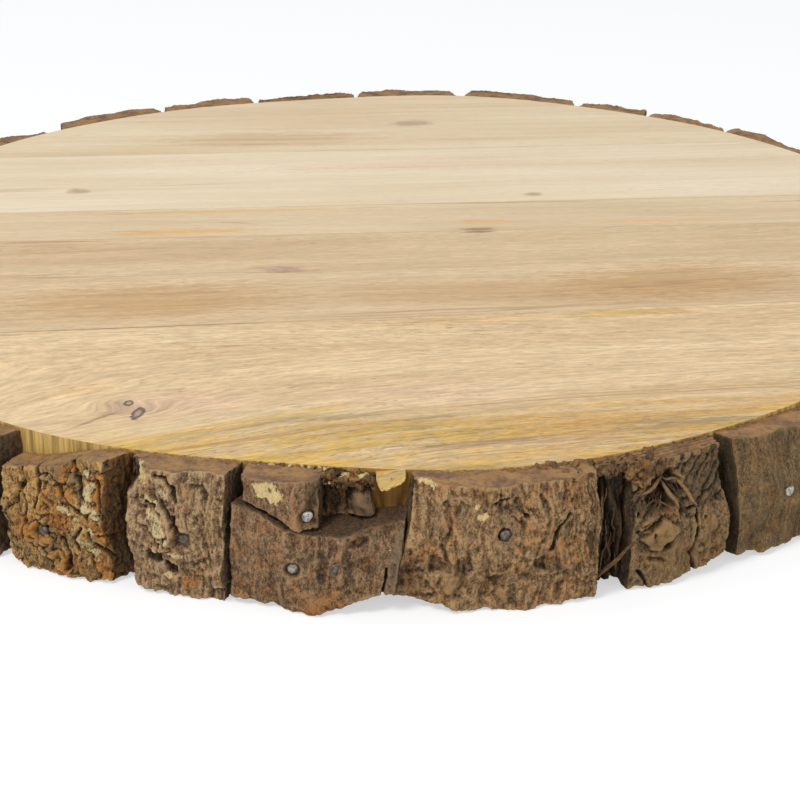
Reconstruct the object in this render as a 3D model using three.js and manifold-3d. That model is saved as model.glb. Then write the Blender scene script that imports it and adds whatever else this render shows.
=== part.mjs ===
// Serving board that imitates a slice of a log.
// Planks are glued edge to edge and sawn to a round outline, and blocks of bark are glued and nailed
// round the rim. Millimetres, +Z up, +X along the grain, origin in the middle of the underside.
import * as THREE from "three";
import { mergeVertices } from "three/addons/utils/BufferGeometryUtils.js";
import Module from "manifold-3d";

const wasm = await Module();
wasm.setup();

// Board
const BOARD_RADIUS = 195; // mean radius of the sawn outline
const BOARD_THICKNESS = 38;
const RIM_WAVES = [
  { count: 2, height: 1.5, crest: 60 },
  { count: 3, height: 1, crest: 15 },
  { count: 5, height: 1.3, crest: -78 },
  { count: 7, height: 1.2, crest: -78 },
  { count: 11, height: 0.7, crest: 12 },
]; // how the freehand saw cut strays from a circle: waves a turn, their height, the angle of a crest

// Planks, from the front (-Y) to the back
const FRONT_SEAM = -79; // where the first glue line crosses the Y axis
const FRONT_SEAM_TILT = 2; // degrees, because the second plank is tapered
const INNER_PLANK_WIDTHS = [86, 33, 72]; // the first and last planks run on to the rim
const PLANK_NAMES = ["front_plank", "tapered_plank", "narrow_plank", "wide_plank", "back_plank"];
const GLUE_LINE = 0.2;

// Nub of sapwood that the saw left standing out of the rim
const NUB_WIDTH = 8;
const NUB_HEIGHT = 4;
const NUB_REACH = 4;
const NUB_ROUND = 3; // radius of its lower edges
const NUB_ROOT = 6; // how deep it is carried into the plank
const NUB_CLEARANCE = 1; // open space at either side of it
const NUB_ABOVE_BARK = 6; // open height between it and the bark under it

// Bark
const BARK_SAWN = 9.5; // radial thickness at the sawn top
const BARK_BELLY = 13.5; // radial thickness at its fullest
const BARK_FOOT = 11; // radial thickness at the foot
const SLIVER_THICKNESS = 6.5; // radial thickness of the sliver between two of the front blocks
const BARK_SEAT = 0.3; // glue between the bark and the rim
const BARK_JOINT = 1.2; // open joint between neighbouring blocks
const FOOT_LIFT = 0.4; // least height of a block's foot above the underside
const TOP_DROP = 0.4; // least depth of a block's sawn top below the board's top
const FIRST_JOINT = -126; // angle of the first block's start, in degrees from +X

// Outer face of the bark
const RIDGE_HEIGHT = 1; // upright ridges
const RIDGE_PITCH = 17;
const RIDGE_WANDER = 6; // how far a ridge strays sideways as it climbs
const SWELL_HEIGHT = 0.5; // slanting swells across the ridges
const SWELL_PITCH = 24;
const SIDE_FALL = 2.2; // how far the face falls away at a block's two sides

// Split block of the front: a crack parts it into an upper and a lower chunk. The upper chunk covers only
// the start of the block, and beside it a thin layer of inner bark is left on the rim. The crack's depths
// are taken from the board's top.
const UPPER_CHUNK_WIDTH = 22.5;
const UPPER_CHUNK_TAPER = 2.5; // how much narrower its outer face is than its seat, at its start
const UPPER_CHUNK_NAILS = [[0.86, 0.28]];
const LOWER_CHUNK_NAILS = [
  [0.39, 0.53],
  [0.64, 0.56],
];
const INNER_BARK_WIDTH = 13;
const INNER_BARK_THICKNESS = 4;
const CRACK_GAP = 0.8;
const CRACK_START = 8;
const CRACK_MIDDLE = 14.5;
const CRACK_END = NUB_HEIGHT + NUB_ABOVE_BARK;
const SPLIT_END_LEAN = 4; // how far the joint at its end strays from foot to top
const SPLIT_TOP_WIDTH = UPPER_CHUNK_WIDTH + INNER_BARK_WIDTH + NUB_WIDTH + 2 * NUB_CLEARANCE;
const SPLIT_WIDTH = SPLIT_TOP_WIDTH - SPLIT_END_LEAN / 2;

// Widths of the other blocks along the front, counter-clockwise from FIRST_JOINT
const RUGGED_BLOCK_WIDTH = 38;
const NARROW_BLOCK_WIDTH = 31;
const BROAD_BLOCK_WIDTH = 51.5;
const SLIVER_WIDTH = 8;
const TORN_BLOCK_WIDTH = 33;
const LAST_BLOCK_WIDTH = 41;

// The blocks along the front. drop is the depth of the sawn top at the block's start and end, past the
// least depth. lift is the height of its foot at the start, the middle and the end, past the least height.
// swell is the share by which it is thicker than usual at the foot, the belly and the top. taper is how
// much narrower its outer face is than its seat, at the start and the end. lean and skew are how far the
// joint at its start strays from foot to top and from the seat outward. nails are shares of its width and
// height.
const FRONT_BLOCKS = [
  {
    width: RUGGED_BLOCK_WIDTH,
    drop: [7, 0],
    lift: [0.6, 0, 0.8],
    swell: [0, 0, 0.05],
    taper: [1, 4],
    lean: 1,
    skew: 0,
    nails: [[0.42, 0.42]],
  },
  {
    width: NARROW_BLOCK_WIDTH,
    drop: [0, 0],
    lift: [1.6, 0.4, 0],
    swell: [0.1, 0, 0.1],
    taper: [1, 0.5],
    lean: -1,
    skew: 0,
    nails: [[0.6, 0.48]],
  },
  {
    width: SPLIT_WIDTH,
    drop: [0, 0],
    lift: [2, 0, 6.5],
    swell: [0.4, 0.1, 0.1],
    taper: [0, 0.8],
    lean: 0.5,
    skew: -2,
    split: true,
  },
  {
    width: BROAD_BLOCK_WIDTH,
    drop: [0, 0],
    lift: [3.4, 0, 0.2],
    swell: [0, 0.06, 0.15],
    taper: [0.5, 0],
    lean: SPLIT_END_LEAN,
    skew: 0,
    nails: [[0.49, 0.62]],
  },
  {
    width: SLIVER_WIDTH,
    drop: [0, 0],
    lift: [2.5, 2, 2.6],
    thin: SLIVER_THICKNESS,
    taper: [0, 0],
    lean: 0.5,
    skew: 0,
    nails: [],
  },
  {
    width: TORN_BLOCK_WIDTH,
    drop: [0, 0],
    lift: [0, 1.2, 4.4],
    swell: [0, 0, -0.15],
    taper: [0.5, 2],
    lean: 0.5,
    skew: 0,
    nails: [[0.26, 0.43]],
  },
  {
    width: LAST_BLOCK_WIDTH,
    drop: [0, 1],
    lift: [2.4, 1, 0.5],
    swell: [0, 0, 0],
    taper: [1.5, 3],
    lean: -1,
    skew: 0,
    nails: [[0.5, 0.5]],
  },
];

// The blocks that close the ring, whose traits vary within these limits
const OTHER_BLOCKS = 24;
const OTHER_WIDTH_SPREAD = 0.26; // share of the mean width
const OTHER_DROP = 3.5;
const OTHER_LIFT = 2.5;
const OTHER_SWELL = 0.15;
const OTHER_TAPER = 4.5;
const OTHER_LEAN = 2.5;
const OTHER_SKEW = 2.5;
const NAILED_EVERY = 2; // one in so many of them is nailed as well as glued
const NAIL_SPREAD = 0.15; // how far a nail strays from the block's middle, as a share of its width

// Nails
const NAIL_LENGTH = 30;
const NAIL_WIRE = 1.8;
const NAIL_POINT = 3;
const NAIL_HEAD = 3.2;
const NAIL_HEAD_THICKNESS = 1;
const NAIL_CLEARANCE = 0.3;
const NAIL_SINK = 0.5; // depth of the head's face below the bark around it
const NAIL_OFF_SEAM = 4; // least distance of a nail from a glue line

// Facets
const RIM_STEPS = 180;
const BARK_CELL = 7; // width of a face on the outer side of the bark
const BARK_LAYERS = 3;
const BARK_ROWS = 5;
const NAIL_SIDES = 8;
const WELD = 1e-4; // vertices closer than this are one

// Colours
const WOOD_COLOURS = [0xcfa973, 0xc39b6e, 0xd6bb8b, 0xd3b688, 0xcfb07f];
const BARK_COLOUR = 0x5a4130;
const NAIL_COLOUR = 0x9a9a98;

const { clamp, degToRad, lerp, seededRandom, smoothstep } = THREE.MathUtils;
const TURN = 2 * Math.PI;
const UP = new THREE.Vector3(0, 0, 1);
const sum = (values) => values.reduce((total, value) => total + value, 0);
const alongRim = (width) => width / BOARD_RADIUS; // the angle that a width takes of the rim
const numbered = (name, index) => `${name}_${String(index + 1).padStart(2, "0")}`;

// A smooth curve through three values at 0, 0.5 and 1.
function through([start, middle, end], share) {
  if (share < 0.5) return lerp(start, middle, smoothstep(share, 0, 0.5));
  return lerp(middle, end, smoothstep(share, 0.5, 1));
}

// A repeatable number for one trait of one block, from 0 to 1 or spread about 0.
const TRAITS = [
  "width", "dropStart", "dropEnd", "liftStart", "liftMiddle", "liftEnd", "swellFoot", "swellBelly",
  "swellTop", "taperStart", "taperEnd", "lean", "skew", "nail", "ridge", "wander", "swell",
];
const chance = (block, trait) => seededRandom(block * TRAITS.length + TRAITS.indexOf(trait));
const spread = (block, trait) => 2 * chance(block, trait) - 1;

// Solids: closed meshes for booleans, and back to geometry
function solidOf(geometry) {
  const bare = geometry.clone();
  bare.deleteAttribute("normal");
  bare.deleteAttribute("uv");
  const merged = mergeVertices(bare, WELD);
  const vertProperties = merged.attributes.position.array;
  const triVerts = new Uint32Array(merged.index.array);
  return new wasm.Manifold(new wasm.Mesh({ numProp: 3, vertProperties, triVerts }));
}

function geometryOf(solid) {
  const { vertProperties, triVerts } = solid.getMesh();
  const geometry = new THREE.BufferGeometry();
  geometry.setAttribute("position", new THREE.BufferAttribute(vertProperties, 3));
  geometry.setIndex(new THREE.BufferAttribute(triVerts, 1));
  geometry.computeVertexNormals();
  return geometry;
}

function slab(corners) {
  const shape = new THREE.Shape(corners);
  return solidOf(new THREE.ExtrudeGeometry(shape, { depth: BOARD_THICKNESS, bevelEnabled: false }));
}

// Rim: the freehand outline that the planks are sawn to and the bark is seated on
function rimRadius(angle) {
  const strays = RIM_WAVES.map(
    ({ count, height, crest }) => height * Math.cos(count * (angle - degToRad(crest))),
  );
  return BOARD_RADIUS + sum(strays);
}

const outward = (angle) => new THREE.Vector3(Math.cos(angle), Math.sin(angle), 0);
const onRim = (angle, beyond, z) => outward(angle).multiplyScalar(rimRadius(angle) + beyond).setZ(z);

function rimSolid() {
  const angles = Array.from({ length: RIM_STEPS }, (_, step) => (step / RIM_STEPS) * TURN);
  return slab(angles.map((angle) => onRim(angle, 0, 0)));
}

// Bark layout: the front blocks, then the others, whose widths are stretched to close the ring
function otherBlock(index, width) {
  const nail = 0.5 + NAIL_SPREAD * spread(index, "nail");
  return {
    width,
    drop: ["dropStart", "dropEnd"].map((trait) => OTHER_DROP * chance(index, trait) ** 3),
    lift: ["liftStart", "liftMiddle", "liftEnd"].map((trait) => OTHER_LIFT * chance(index, trait)),
    swell: ["swellFoot", "swellBelly", "swellTop"].map((trait) => OTHER_SWELL * spread(index, trait)),
    taper: ["taperStart", "taperEnd"].map((trait) => OTHER_TAPER * chance(index, trait)),
    lean: OTHER_LEAN * spread(index, "lean"),
    skew: OTHER_SKEW * spread(index, "skew"),
    nails: index % NAILED_EVERY ? [] : [[nail, 0.5]],
  };
}

function barkBlocks() {
  const frontWidth = sum(FRONT_BLOCKS.map(({ width }) => width));
  const weights = Array.from(
    { length: OTHER_BLOCKS },
    (_, index) => 1 + OTHER_WIDTH_SPREAD * spread(index, "width"),
  );
  const unit = (TURN * BOARD_RADIUS - frontWidth) / sum(weights);
  const others = weights.map((weight, index) => otherBlock(index, weight * unit));
  const blocks = [...FRONT_BLOCKS, ...others];
  let angle = degToRad(FIRST_JOINT);
  return blocks.map((block, seed) => {
    const next = blocks[(seed + 1) % blocks.length];
    const start = { angle, lean: block.lean, skew: block.skew };
    angle += alongRim(block.width);
    const end = { angle, lean: next.lean, skew: next.skew };
    return { ...block, seed, start, end };
  });
}

// The angle of a joint at a height and at a share w of the bark's thickness
function jointAngle({ angle, lean, skew }, z, w) {
  return angle + alongRim(lean * (z / BOARD_THICKNESS - 0.5) + skew * w);
}

// Ridges that wander as they climb, and the swells across them
function relief(block, along, z) {
  const wander = RIDGE_WANDER * Math.sin(TURN * (z / BOARD_THICKNESS / 2 + chance(block.seed, "wander")));
  const ridge = Math.sin(TURN * ((along + wander) / RIDGE_PITCH + chance(block.seed, "ridge")));
  const swell = Math.sin(TURN * ((along / 2 + z) / SWELL_PITCH + chance(block.seed, "swell")));
  return RIDGE_HEIGHT * ridge + SWELL_HEIGHT * swell;
}

// Radial thickness of a block at a share of its width and at a height
function barkThickness(block, share, z) {
  if (block.thin) return block.thin;
  const levels = [BARK_FOOT, BARK_BELLY, BARK_SAWN].map((usual, level) => usual * (1 + block.swell[level]));
  const side = SIDE_FALL * Math.abs(2 * share - 1) ** 4;
  return through(levels, z / BOARD_THICKNESS) - side + relief(block, share * block.width, z);
}

// A piece of bark: the stretch of its block that it takes, how its sides taper, and the heights of its
// foot and top as functions of the share of the block's width
function wholePiece(block, name) {
  return {
    name,
    block,
    start: block.start,
    end: block.end,
    taper: block.taper,
    foot: (share) => FOOT_LIFT + through(block.lift, share),
    top: (share) => BOARD_THICKNESS - TOP_DROP - lerp(...block.drop, smoothstep(share, 0, 1)),
    nails: block.nails,
  };
}

// The split block's chunks: the upper one and the inner bark beside it stand on the crack's upper side,
// and the lower one ends at its lower side.
function splitPieces(block, name) {
  const crack = (share) => BOARD_THICKNESS - through([CRACK_START, CRACK_MIDDLE, CRACK_END], share);
  const aboveCrack = { foot: (share) => crack(share) + CRACK_GAP / 2 };
  const belowCrack = { top: (share) => crack(share) - CRACK_GAP / 2 };
  const upperEnd = { angle: block.start.angle + alongRim(UPPER_CHUNK_WIDTH), lean: 0, skew: 0 };
  const innerEnd = { angle: upperEnd.angle + alongRim(INNER_BARK_WIDTH), lean: 0, skew: 0 };
  const upper = { end: upperEnd, taper: [UPPER_CHUNK_TAPER, 0], nails: UPPER_CHUNK_NAILS };
  const inner = { start: upperEnd, end: innerEnd, taper: [0, 0], nails: [] };
  const innerBark = { ...block, thin: INNER_BARK_THICKNESS };
  return [
    { ...wholePiece(block, `${name}_upper`), ...aboveCrack, ...upper },
    { ...wholePiece(innerBark, `${name}_inner`), ...aboveCrack, ...inner },
    { ...wholePiece(block, `${name}_lower`), ...belowCrack, nails: LOWER_CHUNK_NAILS },
  ];
}

function barkPieces(blocks) {
  return blocks.flatMap((block, index) => {
    const name = numbered("bark_block", index);
    return block.split ? splitPieces(block, name) : [wholePiece(block, name)];
  });
}

// A piece of bark is a box bent round the rim: w runs outward, u along the rim and v up, from 0 to 1.
function barkPlace({ block, start, end, taper, foot, top }, w, u, v) {
  const shareAt = (angle) => (angle - block.start.angle) / (block.end.angle - block.start.angle);
  const level = clamp(shareAt(lerp(start.angle, end.angle, u)), 0, 1);
  const z = lerp(foot(level), top(level), v);
  const [startGap, endGap] = taper.map((narrower) => alongRim(BARK_JOINT / 2 + w * narrower));
  const angle = lerp(jointAngle(start, z, w) + startGap, jointAngle(end, z, w) - endGap, u);
  const thickness = barkThickness(block, clamp(shareAt(angle), 0, 1), z);
  return { angle, z, beyond: BARK_SEAT + w * thickness };
}

function barkSolid(piece) {
  const width = (piece.end.angle - piece.start.angle) * BOARD_RADIUS;
  const columns = Math.max(2, Math.round(width / BARK_CELL));
  const box = new THREE.BoxGeometry(1, 1, 1, BARK_LAYERS, columns, BARK_ROWS).translate(0.5, 0.5, 0.5);
  const points = box.attributes.position;
  for (let index = 0; index < points.count; index++) {
    const shares = new THREE.Vector3().fromBufferAttribute(points, index);
    const { angle, z, beyond } = barkPlace(piece, ...shares);
    points.setXYZ(index, ...onRim(angle, beyond, z));
  }
  return solidOf(box);
}

// A wire nail, turned about its own Y axis, with its point at the origin. Its hole is the same profile
// grown by a clearance and open past the head.
function nailGeometry(clearance, past) {
  const wire = NAIL_WIRE / 2 + clearance;
  const head = NAIL_HEAD / 2 + clearance;
  const underHead = NAIL_LENGTH - NAIL_HEAD_THICKNESS - clearance;
  const profile = [
    new THREE.Vector2(0, -clearance),
    new THREE.Vector2(wire, NAIL_POINT - clearance),
    new THREE.Vector2(wire, underHead),
    new THREE.Vector2(head, underHead),
    new THREE.Vector2(head, NAIL_LENGTH + past),
    new THREE.Vector2(0, NAIL_LENGTH + past),
  ];
  return new THREE.LatheGeometry(profile, NAIL_SIDES);
}

// The place of a nail driven through a piece of bark towards the middle of the board. Where it would
// come too close to a glue line, it is driven a little further along the rim.
function nailPlace(piece, [u, v]) {
  const { angle: first, z, beyond } = barkPlace(piece, 1, u, v);
  const tip = beyond - NAIL_SINK - NAIL_LENGTH;
  let angle = first;
  while (!clearOfSeams(onRim(angle, beyond, z), onRim(angle, tip, z))) angle += alongRim(NAIL_WIRE);
  const point = onRim(angle, tip, z);
  const turned = new THREE.Quaternion().setFromUnitVectors(new THREE.Vector3(0, 1, 0), outward(angle));
  return new THREE.Matrix4().compose(point, turned, new THREE.Vector3(1, 1, 1));
}

// Glue lines, from the front to the back: where each crosses the Y axis, and its slope
function glueLines() {
  const seams = [{ offset: FRONT_SEAM, slope: Math.tan(degToRad(FRONT_SEAM_TILT)) }];
  INNER_PLANK_WIDTHS.forEach((width) => seams.push({ offset: seams.at(-1).offset + width, slope: 0 }));
  return seams;
}

// Whether the straight line between two points keeps off every glue line
function clearOfSeams(from, to) {
  return glueLines().every(({ offset, slope }) => {
    const [near, far] = [from, to].map(({ x, y }) => y - offset - slope * x);
    return near * far > 0 && Math.min(Math.abs(near), Math.abs(far)) > NAIL_OFF_SEAM;
  });
}

// The nub, a tongue with round lower edges, over the end of the split block
function nubSolid(block) {
  const half = NUB_WIDTH / 2;
  const round = Math.min(NUB_ROUND, half, NUB_HEIGHT);
  const section = new THREE.Shape();
  section.moveTo(-half, 0);
  section.absarc(round - half, round - NUB_HEIGHT, round, Math.PI, 1.5 * Math.PI);
  section.absarc(half - round, round - NUB_HEIGHT, round, 1.5 * Math.PI, TURN);
  section.lineTo(half, 0);
  const depth = NUB_ROOT + NUB_REACH;
  const shape = new THREE.ExtrudeGeometry(section, { depth, bevelEnabled: false, curveSegments: 4 });
  const angle = jointAngle(block.end, BOARD_THICKNESS, 0) - alongRim(half + NUB_CLEARANCE);
  const along = new THREE.Vector3().crossVectors(UP, outward(angle));
  const place = new THREE.Matrix4().makeBasis(along, UP, outward(angle));
  return solidOf(shape.applyMatrix4(place.setPosition(onRim(angle, -NUB_ROOT, BOARD_THICKNESS))));
}

// Planks: the sawn outline, with its nub, cut along the glue lines
function plankSolids(nub) {
  const reach = 2 * BOARD_RADIUS;
  const edges = [{ offset: -reach, slope: 0 }, ...glueLines(), { offset: reach, slope: 0 }];
  const corner = ({ offset, slope }, x, side) =>
    new THREE.Vector2(x, offset + slope * x + (side * GLUE_LINE) / 2);
  const board = rimSolid().add(nub);
  return PLANK_NAMES.map((_, index) => {
    const [near, far] = [edges[index], edges[index + 1]];
    const nearSide = [corner(near, -reach, 1), corner(near, reach, 1)];
    const farSide = [corner(far, reach, -1), corner(far, -reach, -1)];
    return board.intersect(slab([...nearSide, ...farSide]));
  });
}

// Assembly
const servingBoard = new THREE.Group();

function addPiece(name, geometry, color, roughness, metalness) {
  const mesh = new THREE.Mesh(geometry, new THREE.MeshStandardMaterial({ color, roughness, metalness }));
  mesh.name = name;
  servingBoard.add(mesh);
  return mesh;
}

const blocks = barkBlocks();
const pieces = barkPieces(blocks);
const nailPlaces = pieces.flatMap((piece) => piece.nails.map((nail) => nailPlace(piece, nail)));
const nailHoles = nailPlaces.map((place) =>
  solidOf(nailGeometry(NAIL_CLEARANCE, BARK_BELLY).applyMatrix4(place)),
);
const drilled = (solid) => geometryOf(nailHoles.reduce((left, hole) => left.subtract(hole), solid));

plankSolids(nubSolid(blocks.find(({ split }) => split))).forEach((plank, index) =>
  addPiece(PLANK_NAMES[index], drilled(plank), WOOD_COLOURS[index], 0.6, 0),
);
pieces.forEach((piece) => addPiece(piece.name, drilled(barkSolid(piece)), BARK_COLOUR, 0.95, 0));
nailPlaces.forEach((place, index) =>
  addPiece(numbered("nail", index), nailGeometry(0, 0), NAIL_COLOUR, 0.35, 0.9).applyMatrix4(place),
);

export default servingBoard;
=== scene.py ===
"""Looks of the log slice serving board: planks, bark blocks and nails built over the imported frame.

Sizes are in millimetres until a mesh is written. A bark block has its own coordinates: along the rim from
the block's middle (counter-clockwise), up from the underside, and out from the rim.
"""
import math

import bmesh
import bpy
import numpy as np
from mathutils import Euler, Matrix, Vector


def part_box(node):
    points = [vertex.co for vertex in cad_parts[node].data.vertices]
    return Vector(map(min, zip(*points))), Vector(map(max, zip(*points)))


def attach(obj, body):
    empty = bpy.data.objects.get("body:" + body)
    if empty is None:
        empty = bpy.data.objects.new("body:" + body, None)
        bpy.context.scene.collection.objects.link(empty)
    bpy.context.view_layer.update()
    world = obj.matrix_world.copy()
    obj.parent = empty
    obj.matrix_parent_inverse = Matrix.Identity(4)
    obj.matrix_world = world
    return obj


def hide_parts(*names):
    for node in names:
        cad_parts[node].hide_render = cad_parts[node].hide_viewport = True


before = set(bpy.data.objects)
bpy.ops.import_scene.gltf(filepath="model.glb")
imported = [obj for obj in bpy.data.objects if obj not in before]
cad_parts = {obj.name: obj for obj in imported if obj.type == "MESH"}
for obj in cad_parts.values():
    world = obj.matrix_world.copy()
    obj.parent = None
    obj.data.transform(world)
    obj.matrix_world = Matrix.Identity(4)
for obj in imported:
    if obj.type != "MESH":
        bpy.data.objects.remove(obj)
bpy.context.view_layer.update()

MM = 0.001
TURN = 2 * math.pi
BARK_NODES = sorted(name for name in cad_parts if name.startswith("bark_block"))
PLANK_NODES = ["front_plank", "tapered_plank", "narrow_plank", "wide_plank", "back_plank"]
NAIL_NODES = sorted(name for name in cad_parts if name.startswith("nail"))
FRONT_BARK = 7  # blocks up to this number face the photograph's camera
BOARD_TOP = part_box("front_plank")[1].z / MM

# Cells that the bark is built from, and smoothing steps: at its edges, and to find what surrounds a vertex
FRONT_CELL = 0.36
OTHER_CELL = 0.62
SOFTEN_STEPS = 3
ROUNDED = {"bark_block_03_inner": 80}  # blocks with rounder edges
NEAR_STEPS = 10
WIDE_STEPS = 60


# Small helpers
def linear(red, green, blue):
    """A colour given by its 0 to 255 screen values, as a shader takes it."""
    channels = [value / 255 for value in (red, green, blue)]
    return (*[c / 12.92 if c <= 0.04045 else ((c + 0.055) / 1.055) ** 2.4 for c in channels], 1.0)


def ease(low, high, value):
    """0 below low, 1 above high and smooth between; high may be the smaller."""
    share = np.clip((value - low) / (high - low), 0, 1)
    return share * share * (3 - 2 * share)


def turned(along, up, degrees):
    """Two coordinates as seen from axes turned by this angle."""
    cosine, sine = math.cos(math.radians(degrees)), math.sin(math.radians(degrees))
    return along * cosine + up * sine, up * cosine - along * sine


# Repeatable noise
GRADIENTS = np.array(
    [(x, y, z) for x in (-1, 0, 1) for y in (-1, 0, 1) for z in (-1, 0, 1) if abs(x) + abs(y) + abs(z) == 2],
    np.float32,
)
CORNERS = np.array([(x, y, z) for x in (0, 1) for y in (0, 1) for z in (0, 1)])
NEIGHBOURS = np.array([(x, y, z) for x in (-1, 0, 1) for y in (-1, 0, 1) for z in (-1, 0, 1)])
FAR = 1e3  # a distance past all others
NOISE_GAIN = 1.5


def scrambled(cells, salt):
    """A repeatable whole number for each row of three whole numbers."""
    x, y, z = (cells[:, axis].astype(np.uint32) for axis in range(3))
    mixed = x * np.uint32(0x8DA6B343) ^ y * np.uint32(0xD8163841) ^ z * np.uint32(0xCB1AB31F)
    mixed = mixed ^ np.uint32((salt * 0x9E3779B1) & 0xFFFFFFFF)
    for shift, factor in ((15, 0x2C1B3C6D), (12, 0x297A2D39), (15, 0x85EBCA6B)):
        mixed = (mixed ^ (mixed >> np.uint32(shift))) * np.uint32(factor)
    return mixed ^ (mixed >> np.uint32(16))


def chance(cells, salt):
    """A repeatable number from 0 to 1 for each row of three whole numbers."""
    return scrambled(cells, salt) / np.float32(2**32)


def noise(points, size, salt):
    """Gradient noise, about -1 to 1, with this wavelength along each axis."""
    scaled = points / np.asarray(size, float)
    cell = np.floor(scaled).astype(np.int64)
    inside = (scaled - cell).astype(np.float32)
    blend = inside**3 * (inside * (inside * 6 - 15) + 10)
    total = np.zeros(len(points), np.float32)
    for corner in CORNERS:
        gradient = GRADIENTS[scrambled(cell + corner, salt) % len(GRADIENTS)]
        reach = np.where(corner, blend, 1 - blend)
        total += reach[:, 0] * reach[:, 1] * reach[:, 2] * ((inside - corner) * gradient).sum(1)
    return NOISE_GAIN * total


def layered(points, size, salt, layers=3, gain=0.5, shape=np.positive):
    """Noise with finer layers added, each half the size of the last."""
    size = np.asarray(size, float)
    return sum(gain**layer * shape(noise(points, size / 2**layer, salt + layer)) for layer in range(layers))


def crumbly(points, size, salt, layers=2):
    """Round lumps with sharp creases between them, 0 in the creases."""
    return layered(points, size, salt, layers, shape=np.abs)


def plates(points, size, salt):
    """Cells of cracked bark: distance to the nearest crack, height of the tilted plate and its own number."""
    scaled = points / np.asarray(size, float)
    cell = np.floor(scaled).astype(np.int64)
    nearest = np.full(len(points), FAR, np.float32)
    second = nearest.copy()
    height = np.zeros(len(points), np.float32)
    tag = height.copy()
    for neighbour in NEIGHBOURS:
        key = cell + neighbour
        spread = np.column_stack([chance(key, salt + axis) for axis in range(3)])
        offset = scaled - key - spread
        distance = np.sqrt((offset**2).sum(1)).astype(np.float32)
        closer = distance < nearest
        second = np.where(closer, nearest, np.minimum(second, distance))
        tilted = chance(key, salt + 3) - 0.5 + ((spread - 0.5) * offset).sum(1)
        height = np.where(closer, tilted, height)
        tag = np.where(closer, chance(key, salt + 4), tag)
        nearest = np.minimum(nearest, distance)
    return second - nearest, height, tag


# Patterns of noise: wavelength, or one for along, up and out, then salt, layers and gain
LUMPS = (12, 1)
CRUMB_BUMPS = (0.9, 7)
GRAINS = (3.2, 11, 2, 0.6)
LEAN = (14, 21)
FISSURES = ((3.2, 24, 6), 31, 3, 0.65)
COMB_LINES = ((1.5, 16, 6), 35, 3, 0.6)
PITS = ((6, 5, 6), 41)
FLAKE_BEND = (5, 45)
LARGE_FLAKES = ((6, 12, 14), 51)
SMALL_FLAKES = ((2.4, 4.5, 6), 55)
SPOT_EDGE = (3.2, 61)
GROOVE_EDGE = (2.6, 71)
FLAKE_EDGE = (2.0, 75)
END_LUMPS = ((4, 9, 4), 81)
END_CREASES = ((1.6, 5, 1.6), 84)
FOOT_WAVES = ((5, 1, 5), 91)
CRUMB_EDGE = (5, 101)
CRUMB_LUMPS = (1.7, 105, 2)
TORN_LAYERS = (6, 108)
SAW_MARKS = (1.0, 111)
TOOTH = ((1.2, 2.2, 1.4), 121, 3, 0.65)
INNER_EDGE = (9, 131)
HUES = (6, 141, 3, 0.7)
TONGUE_LIFT = (3.0, 151)
TONGUE_PUSH = (1.6, 155)


# Meshes and objects
def read(items, name, kind=np.float32, width=3):
    """A property of all items of a mesh as an array, with a row for each."""
    flat = np.empty(len(items) * width, kind)
    items.foreach_get(name, flat)
    return flat.reshape(-1, width)


def vertices_of(mesh):
    """A mesh's vertices as an array, in millimetres."""
    return read(mesh.vertices, "co").astype(float) / MM


def write_points(mesh, points):
    mesh.vertices.foreach_set("co", (points * MM).astype(np.float32).ravel())
    mesh.update()


def store(mesh, name, values):
    """Keeps a number for each vertex under a name that a material can read."""
    attribute = mesh.attributes.new(name, "FLOAT", "POINT")
    attribute.data.foreach_set("value", values.astype(np.float32))


def finished_mesh(shape, name):
    """A mesh with this shape, which is freed."""
    mesh = bpy.data.meshes.new(name)
    shape.to_mesh(mesh)
    shape.free()
    return mesh


def shade_smooth(mesh):
    mesh.polygons.foreach_set("use_smooth", np.ones(len(mesh.polygons), bool))


def link(name, data):
    """A new object in the scene."""
    thing = bpy.data.objects.new(name, data)
    bpy.context.scene.collection.objects.link(thing)
    return thing


def add_piece(name, mesh, material, slot, *nodes):
    """Adds a finished mesh to the scene in place of frame nodes."""
    piece = link(name, mesh)
    mesh.materials.clear()
    mesh.materials.append(material)
    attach(piece, "root")
    if nodes:
        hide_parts(*nodes)


# The rim, read from the underside of the planks
UNDERSIDE = 0.01  # points below this height are the underside's
OUTERMOST = 0.9  # points past this share of the largest radius are the rim's


def rim_profile():
    """Angles round the rim, in order, and the rim's radius at each."""
    points = np.concatenate([vertices_of(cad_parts[name].data) for name in PLANK_NODES])
    radius = np.hypot(points[:, 0], points[:, 1])
    at_rim = (points[:, 2] < UNDERSIDE) & (radius > OUTERMOST * radius.max())
    angle = np.arctan2(points[at_rim, 1], points[at_rim, 0])
    order = np.argsort(angle)
    return angle[order], radius[at_rim][order]


RIM_ANGLES, RIM_RADII = rim_profile()
RIM_MEAN = float(RIM_RADII.mean())


def rim_radius(angle):
    return np.interp(angle, RIM_ANGLES, RIM_RADII, period=TURN)


TONGUE_START = 0.8  # wood that stands out of the rim by more than this is the tongue


def tongue_along():
    """How far round the rim the tongue of wood stands, in millimetres from the X axis."""
    x, y, _ = vertices_of(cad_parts["front_plank"].data).T
    angle = np.arctan2(y, x)
    return float(angle[np.hypot(x, y) - rim_radius(angle) > TONGUE_START].mean()) * RIM_MEAN


TONGUE_ALONG = tongue_along()


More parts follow.
